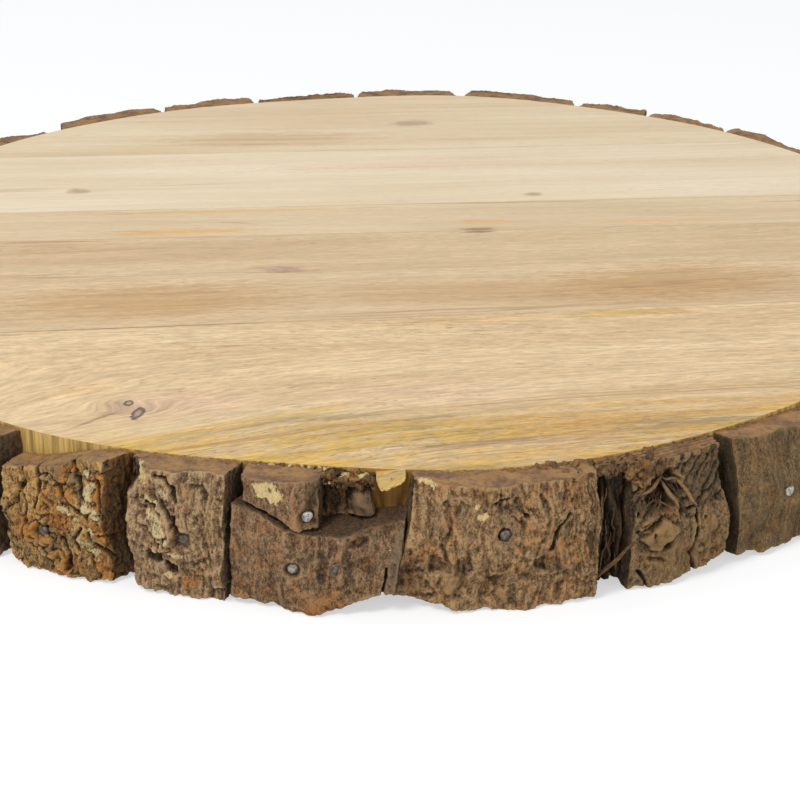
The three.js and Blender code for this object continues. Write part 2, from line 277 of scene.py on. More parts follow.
# Bark: how each kind of face is made up. Heights are in millimetres.
STYLES = {
    "plated": dict(lumps=0.9, grains=0.4, fissures=0.3, plates=1.5, pits=0.4, tooth=0.22),
    "striated": dict(lumps=0.8, grains=0.3, fissures=0.6, plates=0.3, pits=0.3, tooth=0.2),
    "grainy": dict(lumps=0.9, grains=0.2, fissures=0.35, plates=0.1, pits=0.2, tooth=0.16),
    "lumpy": dict(lumps=1.2, grains=0.25, fissures=0.55, plates=0.35, pits=0.4, tooth=0.16),
    "fibrous": dict(lumps=0.5, grains=0.12, fissures=2.4, plates=0.0, pits=0.2, tooth=0.16),
    "torn": dict(lumps=0.8, grains=0.25, fissures=0.3, plates=0.2, pits=0.2, tooth=0.2),
    "smooth": dict(lumps=0.6, grains=0.08, fissures=0.3, plates=0.0, pits=0.0, tooth=0.08),
}
FRONT_STYLES = ["plated", "striated", "grainy", "lumpy", "fibrous", "torn", "smooth"]
OTHER_STYLES = ["lumpy", "plated", "grainy", "striated", "torn", "lumpy", "smooth", "grainy"]
# The shade mask holds painted shade for cracks, hollows, gaps and recesses
MASKS = ["sawn", "inner", "cream", "lichen", "rust", "shade", "slate", "tan"]


def spot(at, size, turn=0.0, push=0.0, edge=0.3, ragged=0.35, comb=None, **masks):
    """A patch of a block's face: middle (along, up), half sizes, how far it stands out, and comb lines."""
    shape = dict(at=at, size=size, turn=turn, edge=edge, ragged=ragged, comb=comb)
    return dict(weigh=spot_weight, push=push, masks=masks, **shape)


def groove(path, width, push, ragged=0.5, **masks):
    """A crack or ridge along a path of (along, up) points."""
    return dict(weigh=groove_weight, path=path, width=width, push=push, ragged=ragged, masks=masks)


def flake(corners, push, edge=0.35, ragged=0.3, **masks):
    """A crisp flake between corners (along, up) given counter-clockwise."""
    return dict(weigh=flake_weight, corners=corners, push=push, edge=edge, ragged=ragged, masks=masks)


# Weights of such features at every point of a block: 1 in the feature, 0 outside
def spot_weight(block, patch):
    across, upward = turned(block.along - patch["at"][0], block.up - patch["at"][1], patch["turn"])
    distance = np.hypot(across / patch["size"][0], upward / patch["size"][1])
    stray = patch["ragged"] * layered(block.places, *SPOT_EDGE)
    return 1 - ease(1 - patch["edge"], 1 + patch["edge"], distance + stray)


GROOVE_SIDE = (0.4, 1.4)  # from where to where a groove fades, in widths from its path


def groove_weight(block, crack):
    inner, outer = (share * crack["width"] for share in GROOVE_SIDE)
    stray = crack["ragged"] * layered(block.places, *GROOVE_EDGE)
    distance = np.full(len(block.along), FAR)
    here = np.column_stack([block.along, block.up])
    for start, end in zip(crack["path"], crack["path"][1:]):
        start, step = np.array(start, float), np.subtract(end, start).astype(float)
        share = np.clip((here - start) @ step / (step @ step), 0, 1)
        gap = np.linalg.norm(here - start - share[:, None] * step, axis=1)
        distance = np.minimum(distance, gap)
    return 1 - ease(inner, outer, distance + stray * crack["width"])


def flake_weight(block, plate):
    inside = np.full(len(block.along), FAR)
    corners = plate["corners"]
    for (x, y), (next_x, next_y) in zip(corners, corners[1:] + corners[:1]):
        cross = (next_x - x) * (block.up - y) - (next_y - y) * (block.along - x)
        inside = np.minimum(inside, cross / math.hypot(next_x - x, next_y - y))
    return ease(0, plate["edge"], inside + plate["ragged"] * layered(block.places, *FLAKE_EDGE))


def combed(block, turn, height):
    """Ridges that run at an angle to upright."""
    along, up, out = block.places.T
    return height * layered(np.column_stack([*turned(along, up, turn), out]), *COMB_LINES)


# What the photograph shows on single blocks
# shade in these features is painted shade in cracks, hollows and recesses
FEATURES = {
    "bark_block_01": [
        groove([(8.8, 33.5), (10.6, 29), (9.2, 23.7), (13, 23.2)], 1.4, 0.5, ragged=1.4, lichen=0.75),
        groove([(2.5, 22.3), (6.6, 20.6)], 0.9, 0.4, ragged=1.4, lichen=0.7),
        groove([(10.6, 17.2), (11.1, 12.9), (13.7, 13.1)], 0.9, 0.4, ragged=1.4, lichen=0.7),
        groove([(6.2, 14.9), (8.8, 11.5), (11, 7.5)], 1.1, 0.4, ragged=1.4, lichen=0.7),
        groove([(4.8, 36), (7.1, 31.7), (7.9, 26)], 0.7, -1.8, shade=1),
        groove([(10, 16.3), (10.3, 13.4), (12.7, 10.8), (14.5, 8.5)], 0.6, -1.6, shade=0.9),
        groove([(8.1, 17.6), (4.9, 13.4), (5.4, 9.7)], 0.6, -1.5, shade=0.9),
        groove([(1.5, 30), (4, 24.5), (8, 22)], 0.6, -1.5, shade=0.9),
        groove([(0.5, 12), (3, 8), (2.5, 3)], 0.6, -1.3, shade=0.9),
        groove([(12.5, 32), (13.4, 26), (14.6, 18)], 0.6, -1.3, shade=0.9),
        groove([(-6, 33), (-4, 27), (-6, 21)], 0.6, -1.3, shade=0.8),
        groove([(-12, 28), (-9, 20), (-10, 11)], 0.6, -1.3, shade=0.8),
        spot((3.3, 33.5), (2.8, 2.6), push=0.3, rust=1),
        spot((2.9, 27.1), (2.4, 2.4), push=0.3, rust=1),
        spot((0.5, 17.1), (3, 3.4), push=0.3, rust=0.9),
        spot((5.3, 4.5), (3.6, 3), push=0.3, rust=1),
        spot((14.2, 16.5), (1.8, 3.6), push=0.2, rust=0.9),
        spot((13.5, 4.5), (2.6, 2.6), push=0.2, rust=0.9),
        spot((12, 30), (1.6, 4), push=0.2, rust=0.8),
        spot((-9, 15), (3.5, 4), push=0.3, rust=0.8),
        spot((18.5, 19), (3, 22), push=-0.3, edge=0.4, slate=0.45, shade=0.4),
    ],
    "bark_block_02": [
        spot((-14.8, 35.5), (2.6, 5), push=-5.0, edge=0.3, ragged=0.1, shade=0.9),
        spot((-10.6, 35.2), (1.9, 3.2), turn=25, push=-1.6, edge=0.15, ragged=0.1, cream=1),
        spot((-4.6, 23), (4.4, 7.2), turn=20, push=1.7, edge=0.2, ragged=0.4),
        spot((-5.0, 22.6), (2.4, 5.6), turn=22, push=0.3, edge=0.5, ragged=0.6, lichen=0.62),
        # A painted highlight in the cream colour on the crust's upper left edge
        spot((-8.0, 25.8), (1.2, 1.5), push=0.2, edge=0.4, cream=0.8),
        spot((-3.4, 19.0), (2.4, 1.7), turn=-20, push=0.2, edge=0.5, ragged=0.6, lichen=0.85),
        # A pale lichen line on the edge above the crack, partly a painted highlight
        groove([(-8.3, 29.6), (-6, 28.6), (-4.6, 27.4)], 0.5, 0.6, lichen=0.7),
        groove([(-7.9, 28.3), (-5.6, 26.8), (-4, 25.6)], 0.6, -2.0, shade=1),
        groove([(-3.7, 28.6), (-1.8, 26.6), (-0.6, 24.2), (0.4, 20.5)], 0.5, -1.6, shade=0.9),
        spot((-2.7, 31), (1.5, 2.2), push=1.0, edge=0.4, lichen=0.5),
        groove([(-5.8, 36), (-3, 35.6), (-0.5, 33), (0.2, 29.5)], 0.5, -1.2, shade=0.8),
        spot((1.5, 18.4), (2.4, 2.4), push=-0.6, edge=0.4, ragged=0.1, shade=0.6),
        groove([(-6.7, 14.8), (-3.6, 15.1), (1.5, 13.6)], 0.6, 0.6, ragged=1.0, lichen=0.7),
        spot((-6, 12.3), (2.0, 1.9), push=-1.8, shade=0.9),
        spot((-1.4, 9.4), (1.4, 2.2), turn=35, push=-1.7, shade=0.9),
        spot((-2.6, 6.9), (1.0, 1.2), push=0.3, cream=0.9, rust=0.6),
        spot((11.4, 8.2), (3.8, 3.6), push=2.8, edge=0.35, ragged=0.2, tan=0.25),
        spot((11.6, 5.4), (2.2, 0.9), push=0.1, edge=0.5, lichen=0.85, cream=0.3),
        spot((6.3, 9.2), (1.4, 1.8), push=0.7, rust=0.3),
        spot((3.6, 5.9), (2.4, 2.2), push=0.3, rust=0.8),
        spot((3.2, 33), (1.8, 1.8), push=0.2, rust=0.5),
        spot((9, 24), (3.0, 9), push=-0.6, edge=0.6, tan=0.2),
        spot((5, 22), (1.6, 9), push=0.5, edge=0.6),
        groove([(3.1, 34.2), (6.7, 33.8), (7.7, 30.2)], 0.5, -0.6, shade=0.4),
    ],
    "bark_block_03_upper": [
        spot((-2.2, 34.1), (4.0, 2.5), turn=-22, push=-0.4, edge=0.35, ragged=0.45, cream=1),
        spot((-2.0, 34.9), (0.6, 0.8), push=-0.5, edge=0.4, shade=0.9),
        spot((10.5, 31), (3.2, 9), turn=-8, push=-2.6, edge=0.5, ragged=0.1, shade=0.4),
        spot((6.5, 21.5), (4, 2.6), push=0.2, rust=0.4),
    ],
    "bark_block_03_inner": [
        spot((-3.4, 31), (3.8, 10), push=-4.2, edge=0.4, ragged=0.15, shade=1),
        spot((3.8, 28.6), (3.2, 4.6), push=3.4, edge=0.95, ragged=0.05, slate=0.2, shade=0.6),
        spot((3.6, 34.4), (4.4, 1.6), push=-1.2, edge=0.4, shade=0.85),
        spot((7.5, 33), (3.0, 3.4), push=-2.6, edge=0.7, ragged=0.1, shade=0.4),
        groove([(-1, 23.6), (3, 23.0), (7, 23.8)], 0.6, -1.4, ragged=0.2, shade=1),
        groove([(-6, 36.6), (0, 36.2), (6, 36.6)], 1.1, 0.9, ragged=0.9, rust=0.8),
    ],
    "bark_block_03_lower": [
        spot((1, 4), (5, 4), push=1.0, edge=0.6, rust=0.5),
        spot((1.4, 12.2), (1.2, 5.4), turn=-4, push=-0.8, edge=0.6, shade=0.7),
        spot((8.5, 12.9), (1.2, 3.4), push=-0.4, edge=0.6, shade=0.5),
        spot((11, 22.4), (2.8, 1.3), turn=25, push=-0.7, edge=0.4, rust=0.5, shade=0.5),
        groove([(6.2, 22), (5.8, 17), (6.4, 10)], 0.7, 0.5, ragged=0.6, tan=0.3),
        spot((9.5, 26.6), (10, 2.8), push=-0.2, edge=0.4, shade=0.65),
        groove([(17.6, 14.2), (17.3, 10.4), (16.6, 6), (16.8, 1)], 0.35, -1.8, ragged=0.25, shade=1),
        flake([(18.2, 16.5), (22.7, 16.5), (22.7, 25.2), (20.6, 26), (18.6, 21)], 0.3, ragged=0.9, slate=0.7),
        flake([(17.4, 6.4), (22.7, 5.6), (22.7, 15.6), (18.2, 15.2)], 0.2, ragged=0.9, slate=0.7),
        groove([(-18, 2), (-8, 1.2), (0, 1)], 0.8, -0.5, cream=0.2),
    ],
    "bark_block_04": [
        spot((-24.5, 38), (8.5, 6.5), push=-4.6, edge=0.75, ragged=0.1),
        groove([(-21.8, 37.6), (-19, 37.4), (-16.4, 36.8)], 0.6, 0.0, ragged=1.3, cream=0.85),
        spot((-4.9, 28.4), (1.3, 1.3), turn=30, push=-0.3, edge=0.35, ragged=0.5, cream=0.95),
        spot((-6.1, 31.9), (0.7, 0.8), push=0.0, edge=0.4, ragged=0.5, cream=0.75),
        spot((1.0, 25.5), (3.4, 6.0), turn=-8, push=-0.7, edge=0.35, ragged=0.2, slate=0.35),
        spot((6.2, 28.4), (0.6, 0.6), push=-2.2, edge=0.4, ragged=0.1, shade=1),
        groove([(-1.4, 32.3), (1.2, 34.2)], 0.5, -1.2, shade=0.8),
        groove([(17.3, 27.8), (13.6, 23), (12.4, 19)], 0.5, -1.2, shade=0.8),
        groove([(-14, 33), (-13, 27), (-14.5, 21), (-12.8, 14)], 0.8, -0.8, shade=0.4),
        groove([(4, 33), (5.5, 28), (4.6, 21), (6, 15)], 0.8, -0.7, shade=0.35),
        groove([(10, 34), (11.5, 28), (10.2, 22)], 0.7, -0.7, shade=0.35),
        spot((9.8, 14.3), (2.4, 2.2), push=-1.3, edge=0.5, shade=0.5),
        spot((13.2, 13.0), (1.8, 2.6), push=-1.3, edge=0.5, shade=0.5),
        spot((-1, 9.8), (2.2, 2.6), push=-1.4, edge=0.5, shade=0.45),
        spot((-9.5, 14.9), (2.4, 2.8), push=-1.2, edge=0.5, shade=0.6),
        spot((-16, 15.4), (1.8, 2.6), push=-1.2, edge=0.5, shade=0.6),
        spot((0.6, 7.5), (1.3, 3.2), push=1.0, edge=0.5, tan=0.4),
        spot((-12, 12), (2.0, 5), push=0.8, edge=0.5, tan=0.45),
        spot((10, 24.6), (3, 3.6), push=0.8, edge=0.6, tan=0.3),
        spot((-22, 8), (5, 8), push=-1.4, edge=0.4, shade=0.25),
        spot((-17.5, 19), (2.4, 3), push=0.5, edge=0.6, rust=0.5),
        spot((16, 17), (3.6, 4), push=0.5, edge=0.6, rust=0.35),
        spot((-13, 29), (2, 4), push=0.4, edge=0.6, rust=0.4),
    ],
    "bark_block_05": [
        spot((0, 19), (12, 30), edge=0.2, ragged=0.0, shade=0.35),
        groove([(1.6, 0), (1.9, 4), (2.2, 9)], 0.6, -5.0, ragged=0.2, shade=1),
        groove([(-1.5, 36), (-1.2, 20), (-1.8, 4)], 0.7, -2.2, ragged=0.4, shade=0.8),
    ],
    "bark_block_06": [
        spot((-5.5, 28), (5.2, 5), turn=18, push=-3.8, edge=0.5, ragged=0.25, comb=(-45, 0.9), shade=0.95),
        spot((-11.5, 26.5), (4.4, 4.6), push=-1.0, edge=0.4, comb=(-50, 0.9), shade=0.5),
        spot((7, 30), (10.5, 8.5), turn=12, push=-1.2, edge=0.25, comb=(-40, 0.7), shade=0.45, slate=0.3),
        groove([(0, 22.5), (5, 24.5), (11, 27), (15, 31)], 0.6, -1.3, shade=0.8),
        flake([(-13.8, 20.6), (-8.0, 22.4), (-7.2, 24.0), (-9.0, 25.0), (-14.0, 21.6)], 1.2, tan=0.8),
        flake([(-13.4, 16.2), (-10.3, 12.8), (-7.4, 11.7), (-2.2, 18.6), (-6.3, 21.8)], 1.6, tan=0.95),
        groove([(-14, 18.4), (-10, 19.8), (-6.8, 21.9)], 0.3, -1.4, ragged=0.1, shade=1),
        spot((-9.8, 17.6), (0.5, 0.5), push=-2.0, edge=0.3, ragged=0.0, shade=1),
        spot((-5.6, 13.4), (1.0, 2.0), turn=-30, push=-2.0, edge=0.3, ragged=0.1, shade=1),
        spot((-2.5, 8), (9, 6.5), turn=10, push=0.8, edge=0.25, ragged=0.15, tan=0.45),
        spot((6.1, 19.3), (0.5, 0.5), push=-2.0, edge=0.3, ragged=0.0, shade=1),
        spot((-14.2, 24), (0.6, 0.6), push=-2.0, edge=0.3, ragged=0.0, shade=1),
        spot((7.4, 15), (2.4, 9), turn=-6, push=0.7, edge=0.4, tan=0.45),
        groove([(3.2, 22), (3.6, 16), (2.6, 9), (4.2, 1)], 0.5, -1.4, shade=0.8),
        groove([(-13, 6), (-11.5, 3.6), (-10.4, 0.5)], 0.5, -1.6, ragged=0.2, shade=1),
        spot((-8.6, 9.4), (2.2, 0.9), turn=-20, push=-0.8, edge=0.4, shade=0.7),
    ],
}


DEEPEST_DROP = 8  # how far a sawn top may fall from one end of a block to the other
SEED_STEP = 100.0  # how far apart the blocks lie in the noise


class Block:
    """A piece of bark as a dense mesh, with each vertex's own coordinates."""

    def __init__(self, name):
        self.name = name
        number = int(name.split("_")[2])
        front = number <= FRONT_BARK
        self.finish = FRONT_STYLES[number - 1] if front else OTHER_STYLES[number % len(OTHER_STYLES)]
        self.style = STYLES[self.finish]
        self.mesh = dense_mesh(name, FRONT_CELL if front else OTHER_CELL)
        self.points = vertices_of(self.mesh)
        self.locate(seed=number * 10 + len(name))
        self.masks = {mask: np.zeros(len(self.points)) for mask in MASKS}

    def locate(self, seed):
        """Works out along, up and out, and the directions that they run in."""
        x, y, z = self.points.T
        angle = np.arctan2(y, x)
        guess = math.atan2(y.mean(), x.mean())
        turn = (angle - guess + math.pi) % TURN - math.pi
        centre = (turn.min() + turn.max()) / 2
        self.middle = guess + centre
        self.along = (turn - centre) * RIM_MEAN
        self.up = z
        self.out = np.hypot(x, y) - rim_radius(angle)
        self.outward = np.column_stack([np.cos(angle), np.sin(angle), np.zeros(len(angle))])
        self.forward = np.column_stack([-np.sin(angle), np.cos(angle), np.zeros(len(angle))])
        self.width = self.along.max() - self.along.min()
        self.foot, self.top = z.min(), z.max()
        self.deepest = self.out.max()
        self.depth = self.out / self.deepest
        self.places = np.column_stack([self.along, self.up, self.out]) + SEED_STEP * seed
        from_start = self.along - self.along.min()
        column = np.round(from_start).astype(int)
        crest = np.full(column.max() + 1, self.top - DEEPEST_DROP)
        np.maximum.at(crest, column, z)
        self.crest = np.interp(from_start, np.arange(len(crest)), crest)

    def normals(self):
        """Vertex normals of the mesh at its present points."""
        write_points(self.mesh, self.points)
        return read(self.mesh.vertex_normals, "vector")

    def shares(self):
        """Shares of the vertex normals outward, forward along the rim and up."""
        normal = self.normals()
        return (normal * self.outward).sum(1), (normal * self.forward).sum(1), normal[:, 2]

    def tint(self, mask, values):
        """Raises a mask to these values where it is lower."""
        self.masks[mask] = np.maximum(self.masks[mask], values)


# Nail holes, which the bark fills up to the nails' heads
HOLE_RADIUS = 1.9
HOLE_STRAY = 0.05  # how far a hole's points may lie off its radius
HOLE_REACH = 5  # and how far from the head
HOLE_POINTS = 5  # least number of such points
PLUG_SIDES = 24
PLUG_RADIUS = 2.3
PLUG_DEPTH = 6.0
PLUG_SINK = 0.2  # how far a plug ends below the face of the nail's head
PIN_RISE = 0.5
HEAD_SEAT = (2.8, 1.7)  # from where to where the bark sinks to a nail's head


def nails_in(node):
    """The nails whose holes are cut in a block."""
    points = vertices_of(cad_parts[node].data)
    found = []
    for nail in NAIL_NODES:
        out, side, reach, across, level, _ = nail_axes(nail)
        off_axis = np.hypot(points @ side - across, points[:, 2] - level)
        near_head = np.abs(points @ out - reach.max()) < HOLE_REACH
        if (near_head & (np.abs(off_axis - HOLE_RADIUS) < HOLE_STRAY)).sum() >= HOLE_POINTS:
            found.append(nail)
    return found


def plugged_mesh(node):
    """A block's mesh with its nail holes filled up to the nails' heads."""
    shape = bmesh.new()
    shape.from_mesh(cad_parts[node].data)
    for nail in nails_in(node):
        out, side, reach, across, level, _ = nail_axes(nail)
        end = reach.max() + (PIN_RISE if nail == PIN_NAIL else -PLUG_SINK)
        middle = out * (end - PLUG_DEPTH / 2) + side * across + np.array([0, 0, level])
        turn = Vector(out).to_track_quat("Z", "Y").to_matrix().to_4x4()
        bmesh.ops.create_cone(
            shape, cap_ends=True, segments=PLUG_SIDES, radius1=PLUG_RADIUS * MM, radius2=PLUG_RADIUS * MM,
            depth=PLUG_DEPTH * MM, matrix=Matrix.Translation(Vector(middle * MM)) @ turn,
        )
    return finished_mesh(shape, f"{node}_plugged")


def dense_mesh(node, cell):
    """A frame node's mesh built again from small cells, with its hard edges eased."""
    source = link("dense_source", plugged_mesh(node))
    remesh = source.modifiers.new("Dense", "REMESH")
    remesh.mode = "VOXEL"
    remesh.voxel_size = cell * MM
    soften = source.modifiers.new("Soften", "SMOOTH")
    soften.factor = 0.5
    soften.iterations = ROUNDED.get(node, SOFTEN_STEPS)
    graph = bpy.context.evaluated_depsgraph_get()
    mesh = bpy.data.meshes.new_from_object(source.evaluated_get(graph))
    bpy.data.objects.remove(source)
    return mesh


FLAKE_TURN = 25  # degrees that flakes lean
FLAKE_SPREAD = 0.5  # how fast their pattern changes through the bark
FLAKE_WARP = 1.6  # how far the outlines of flakes wander
SMALL_SHARE = 0.4  # share of the small flakes in the height and in the numbers
CRACK_EDGE = (0.0, 0.12)
CRACK_DEPTH = 0.5
LEAN_BY = 2.2  # how far fissures lean to and fro
PIT_EDGE = (0.3, 0.75)


def flakes(block):
    """Height of tilted flakes, small ones on large, and a number from 0 to 1 for each."""
    along, up, out = block.places.T
    flat = np.column_stack([*turned(along, up, FLAKE_TURN), FLAKE_SPREAD * out])
    size, salt = FLAKE_BEND
    bent = flat + np.column_stack([FLAKE_WARP * layered(flat, size, salt + axis) for axis in range(3)])
    crack, large, large_tag = plates(bent, *LARGE_FLAKES)
    _, small, small_tag = plates(bent, *SMALL_FLAKES)
    height = large + SMALL_SHARE * small - CRACK_DEPTH * (1 - ease(*CRACK_EDGE, crack))
    return height, (1 - SMALL_SHARE) * large_tag + SMALL_SHARE * small_tag


def shape_face(block, outer):
    """How far each point of a block's outer face is pushed out, by its style and its own features."""
    style = block.style
    here = block.places
    still = np.zeros(len(here))
    lean = here + np.column_stack([LEAN_BY * noise(here, *LEAN), still, still])
    push = style["lumps"] * layered(here, *LUMPS)
    push += style["grains"] * layered(here, *GRAINS)
    push += style["fissures"] * layered(lean, *FISSURES)
    push -= style["pits"] * ease(*PIT_EDGE, noise(here, *PITS))
    block.hue = 0.5 + 0.5 * layered(here, *HUES)
    if style["plates"]:
        height, tag = flakes(block)
        push += style["plates"] * height
        block.hue += min(style["plates"], 1) * (tag - block.hue)
    for feature in FEATURES.get(block.name, []):
        weight = feature["weigh"](block, feature) * outer
        push += feature["push"] * weight
        if feature.get("comb"):
            push += weight * combed(block, *feature["comb"])
        for mask, strength in feature["masks"].items():
            block.tint(mask, strength * weight)
    return push


def cavity(mesh, points, normal):
    """How far each vertex stands above its near and its wider surroundings, in millimetres."""
    pairs = read(mesh.edges, "vertices", np.int32, 2)
    first, second = pairs.T
    count = np.bincount(pairs.ravel(), minlength=len(points))
    level = points.copy()
    heights = []
    for step in range(1, WIDE_STEPS + 1):
        total = np.empty_like(level)
        for axis in range(3):
            total[:, axis] = np.bincount(first, level[second, axis], len(points))
            total[:, axis] += np.bincount(second, level[first, axis], len(points))
        level = 0.5 * level + 0.5 * total / count[:, None]
        if step in (NEAR_STEPS, WIDE_STEPS):
            heights.append(((points - level) * normal).sum(1))
    return heights


SEAT_CLEAR = 0.12  # least gap that the visible bark keeps to the rim
FLOOR_CLEAR = 0.15
TOP_CLEAR = 0.08  # how far the sawn tops stay below the board's top
TOP_RISE = 0.3
# How much longer a piece looks at its two ends: start and end at the foot, start and end at the top
STRETCH = {
    "bark_block_03_inner": (0.7, 2.4, 0.7, -0.8),
    "bark_block_03_lower": (0.0, 0.6, 0.0, 1.4),
    "bark_block_04": (2.6, 0.0, 0.0, 0.0),
}
UNSAWN = ("_lower", "_inner")  # pieces whose tops are torn
GAP_GLOOM = 0.85  # how dark the painted shade is on the ends between blocks
LEDGE_GLOOM = 0.8  # how dark the painted shade is on a torn top

# Where the sides of a block fade into each other. Tilts are shares of the normal, depths are shares of the
# block's own depth, and the rest are millimetres.
OUTER_DEPTH = (0.15, 0.7)
TOP_TILT, TOP_BELOW = (0.5, 0.85), (1.8, 0.9)
LIP_TILT, LIP_BELOW = (0.1, 0.4), (1.2, 0.5)
LEDGE_TILT, LEDGE_DEPTH = (0.3, 0.8), (1.15, 0.9)
END_TILT, GAP_DEPTH = (0.4, 0.8), (1.12, 0.8)
SEAT_TILT, SEAT_OUT = (-0.3, -0.8), (2.5, 0.8)
FOOT_RISE = (5, 1)
CRUMB_OUT = (2.4, 0.6)
INNER_DEPTH = (0.85, 0.5)

# Heights of the relief on the ends, the foot and the top
END_LUMP, END_CREASE, END_SINK = 0.35, 0.25, 0.15
FOOT_WAVE, FOOT_SINK = 0.9, 0.2
SAW_MARK, CRUMB_SINK = 0.06, 0.7
LAYER_PERIOD = 3.4  # width of two layers of bark on a top
TORN_RIDGE, SAWN_RIDGE = 0.8, 0.06
RIDGE_SHARP, GLOOM_SHARP = 4, 6  # powers that narrow the ridges between layers and their painted shade
CRUMB_STRAY, LAYER_STRAY = 1.2, 0.5  # how far the crumbs' edge and the layers wander
# how dark the painted shade is in the grooves between a torn top's layers
LAYER_GLOOM = 0.9
CRUMB_RAW = 0.6  # share of the sawn colour that crumbs hide
TOP_SMOOTH = 0.6  # share of the tooth that a sawn top lacks
INNER_STRAY = 0.12
NEAR_RELIEF, WIDE_RELIEF = 1.2, 0.4  # shares of the two cavities in the relief mask


def stretch_ends(block):
    """Draws a block out at its two ends."""
    if block.name not in STRETCH:
        return
    foot_start, foot_end, top_start, top_end = STRETCH[block.name]
    share = block.along / block.width + 0.5
    rise = ease(block.foot, block.top, block.up)
    start = foot_start * (1 - rise) + top_start * rise
    end = foot_end * (1 - rise) + top_end * rise
    block.points += block.forward * (end * share**2 - start * (1 - share) ** 2)[:, None]


def level_top(block, up_share):
    """Levels a sawn top, or paints shade on a torn one, and returns how far each point is of a sawn top."""
    if block.name.endswith(UNSAWN):
        # Painted shade on a torn top, darker towards the rim
        block.tint("shade", LEDGE_GLOOM * ease(*LEDGE_TILT, up_share) * ease(*LEDGE_DEPTH, block.depth))
        return np.zeros(len(up_share))
    below = block.crest - block.up
    lip = ease(*LIP_TILT, up_share) * ease(*LIP_BELOW, below)
    level = np.minimum(block.crest + TOP_RISE, BOARD_TOP - TOP_CLEAR)
    block.points[:, 2] += lip * (level - block.points[:, 2])
    return ease(*TOP_TILT, up_share) * ease(*TOP_BELOW, below)


def roughen_ends(block, along_share, top):
    """Roughens a block's ends, with painted shade on them inside the gaps, and its foot."""
    here = block.places
    ends = ease(*END_TILT, np.abs(along_share)) * (1 - top)
    # Painted shade on the ends, away from the block's outer face
    block.tint("shade", GAP_GLOOM * ends * ease(*GAP_DEPTH, block.depth))
    rough = END_LUMP * layered(here, *END_LUMPS) + END_CREASE * crumbly(here, *END_CREASES)
    block.points += block.forward * (np.sign(along_share) * ends * (rough - END_SINK))[:, None]
    foot = ease(*FOOT_RISE, block.up - block.foot) * (1 - top)
    block.points[:, 2] += foot * (FOOT_WAVE * layered(here * [1, 0, 1], *FOOT_WAVES) - FOOT_SINK)


def roughen_top(block, top):
    """Gives a sawn top its tooth marks, layers, and crumbs along the rim."""
    here = block.places
    crumbs = ease(*CRUMB_OUT, block.out + CRUMB_STRAY * layered(here, *CRUMB_EDGE))
    through = block.out + LAYER_STRAY * layered(here, *TORN_LAYERS)
    layers = np.abs(np.sin(TURN * through / LAYER_PERIOD))
    torn = block.finish == "torn"
    sink = SAW_MARK * crumbly(here, *SAW_MARKS) + CRUMB_SINK * crumbs * crumbly(here, *CRUMB_LUMPS)
    block.points[:, 2] -= top * (sink + (TORN_RIDGE if torn else SAWN_RIDGE) * layers**RIDGE_SHARP)
    # Painted shade in the grooves between the layers of a torn top
    if torn:
        block.tint("shade", LAYER_GLOOM * top * layers**GLOOM_SHARP)
    block.tint("rust", top * crumbs)
    block.tint("sawn", top * (1 - CRUMB_RAW * crumbs))


def sculpt(block):
    """Pushes a block's mesh into the shape of bark and fills its masks."""
    out_share, along_share, up_share = block.shares()
    outer = ease(*OUTER_DEPTH, block.depth)
    stretch_ends(block)
    top = level_top(block, up_share)
    push = shape_face(block, outer)
    block.points += block.outward * (push * outer)[:, None]
    roughen_ends(block, along_share, top)
    roughen_top(block, top)

    # Fine tooth all over but the seat
    seat = ease(*SEAT_TILT, out_share) * ease(*SEAT_OUT, block.out)
    fine = block.style["tooth"] * layered(block.places, *TOOTH) * (1 - TOP_SMOOTH * top) * (1 - seat)
    block.points += block.normals() * fine[:, None]
    seat_nails(block)
    keep_clear(block)

    # The relief mask, from how far a point stands above its surroundings, paints shade into hollows and light
    # onto ridges through the bark's tone
    near, wide = cavity(block.mesh, block.points, block.normals())
    block.relief = np.clip(0.5 + NEAR_RELIEF * near + WIDE_RELIEF * wide, 0, 1)
    depth = block.depth + INNER_STRAY * noise(block.places, *INNER_EDGE)
    block.tint("inner", ease(*INNER_DEPTH, depth))


def seat_nails(block):
    """Levels the bark round each nail's head, so that the head shows."""
    for nail in nails_in(block.name):
        if nail == PIN_NAIL:
            continue
        out, side, reach, across, level, _ = nail_axes(nail)
        gap = np.hypot(block.points @ side - across, block.points[:, 2] - level)
        over = np.maximum(block.points @ out - (reach.max() - PLUG_SINK), 0)
        block.points -= np.outer(over * ease(*HEAD_SEAT, gap), out)


def keep_clear(block):
    """Keeps a block's mesh off the rim and above the floor."""
    x, y, z = block.points.T
    angle = np.arctan2(y, x)
    radius = np.hypot(x, y)
    least = rim_radius(angle) + SEAT_CLEAR
    grow = np.maximum(least / radius, 1)
    block.points[:, 0] *= grow
    block.points[:, 1] *= grow
    block.points[:, 2] = np.clip(z, FLOOR_CLEAR, BOARD_TOP - TOP_CLEAR)


UV_MARGIN = 1.05  # how much wider a tile is than the longest side in it
TILE_FILL = 0.99
TILES = (3, 2)


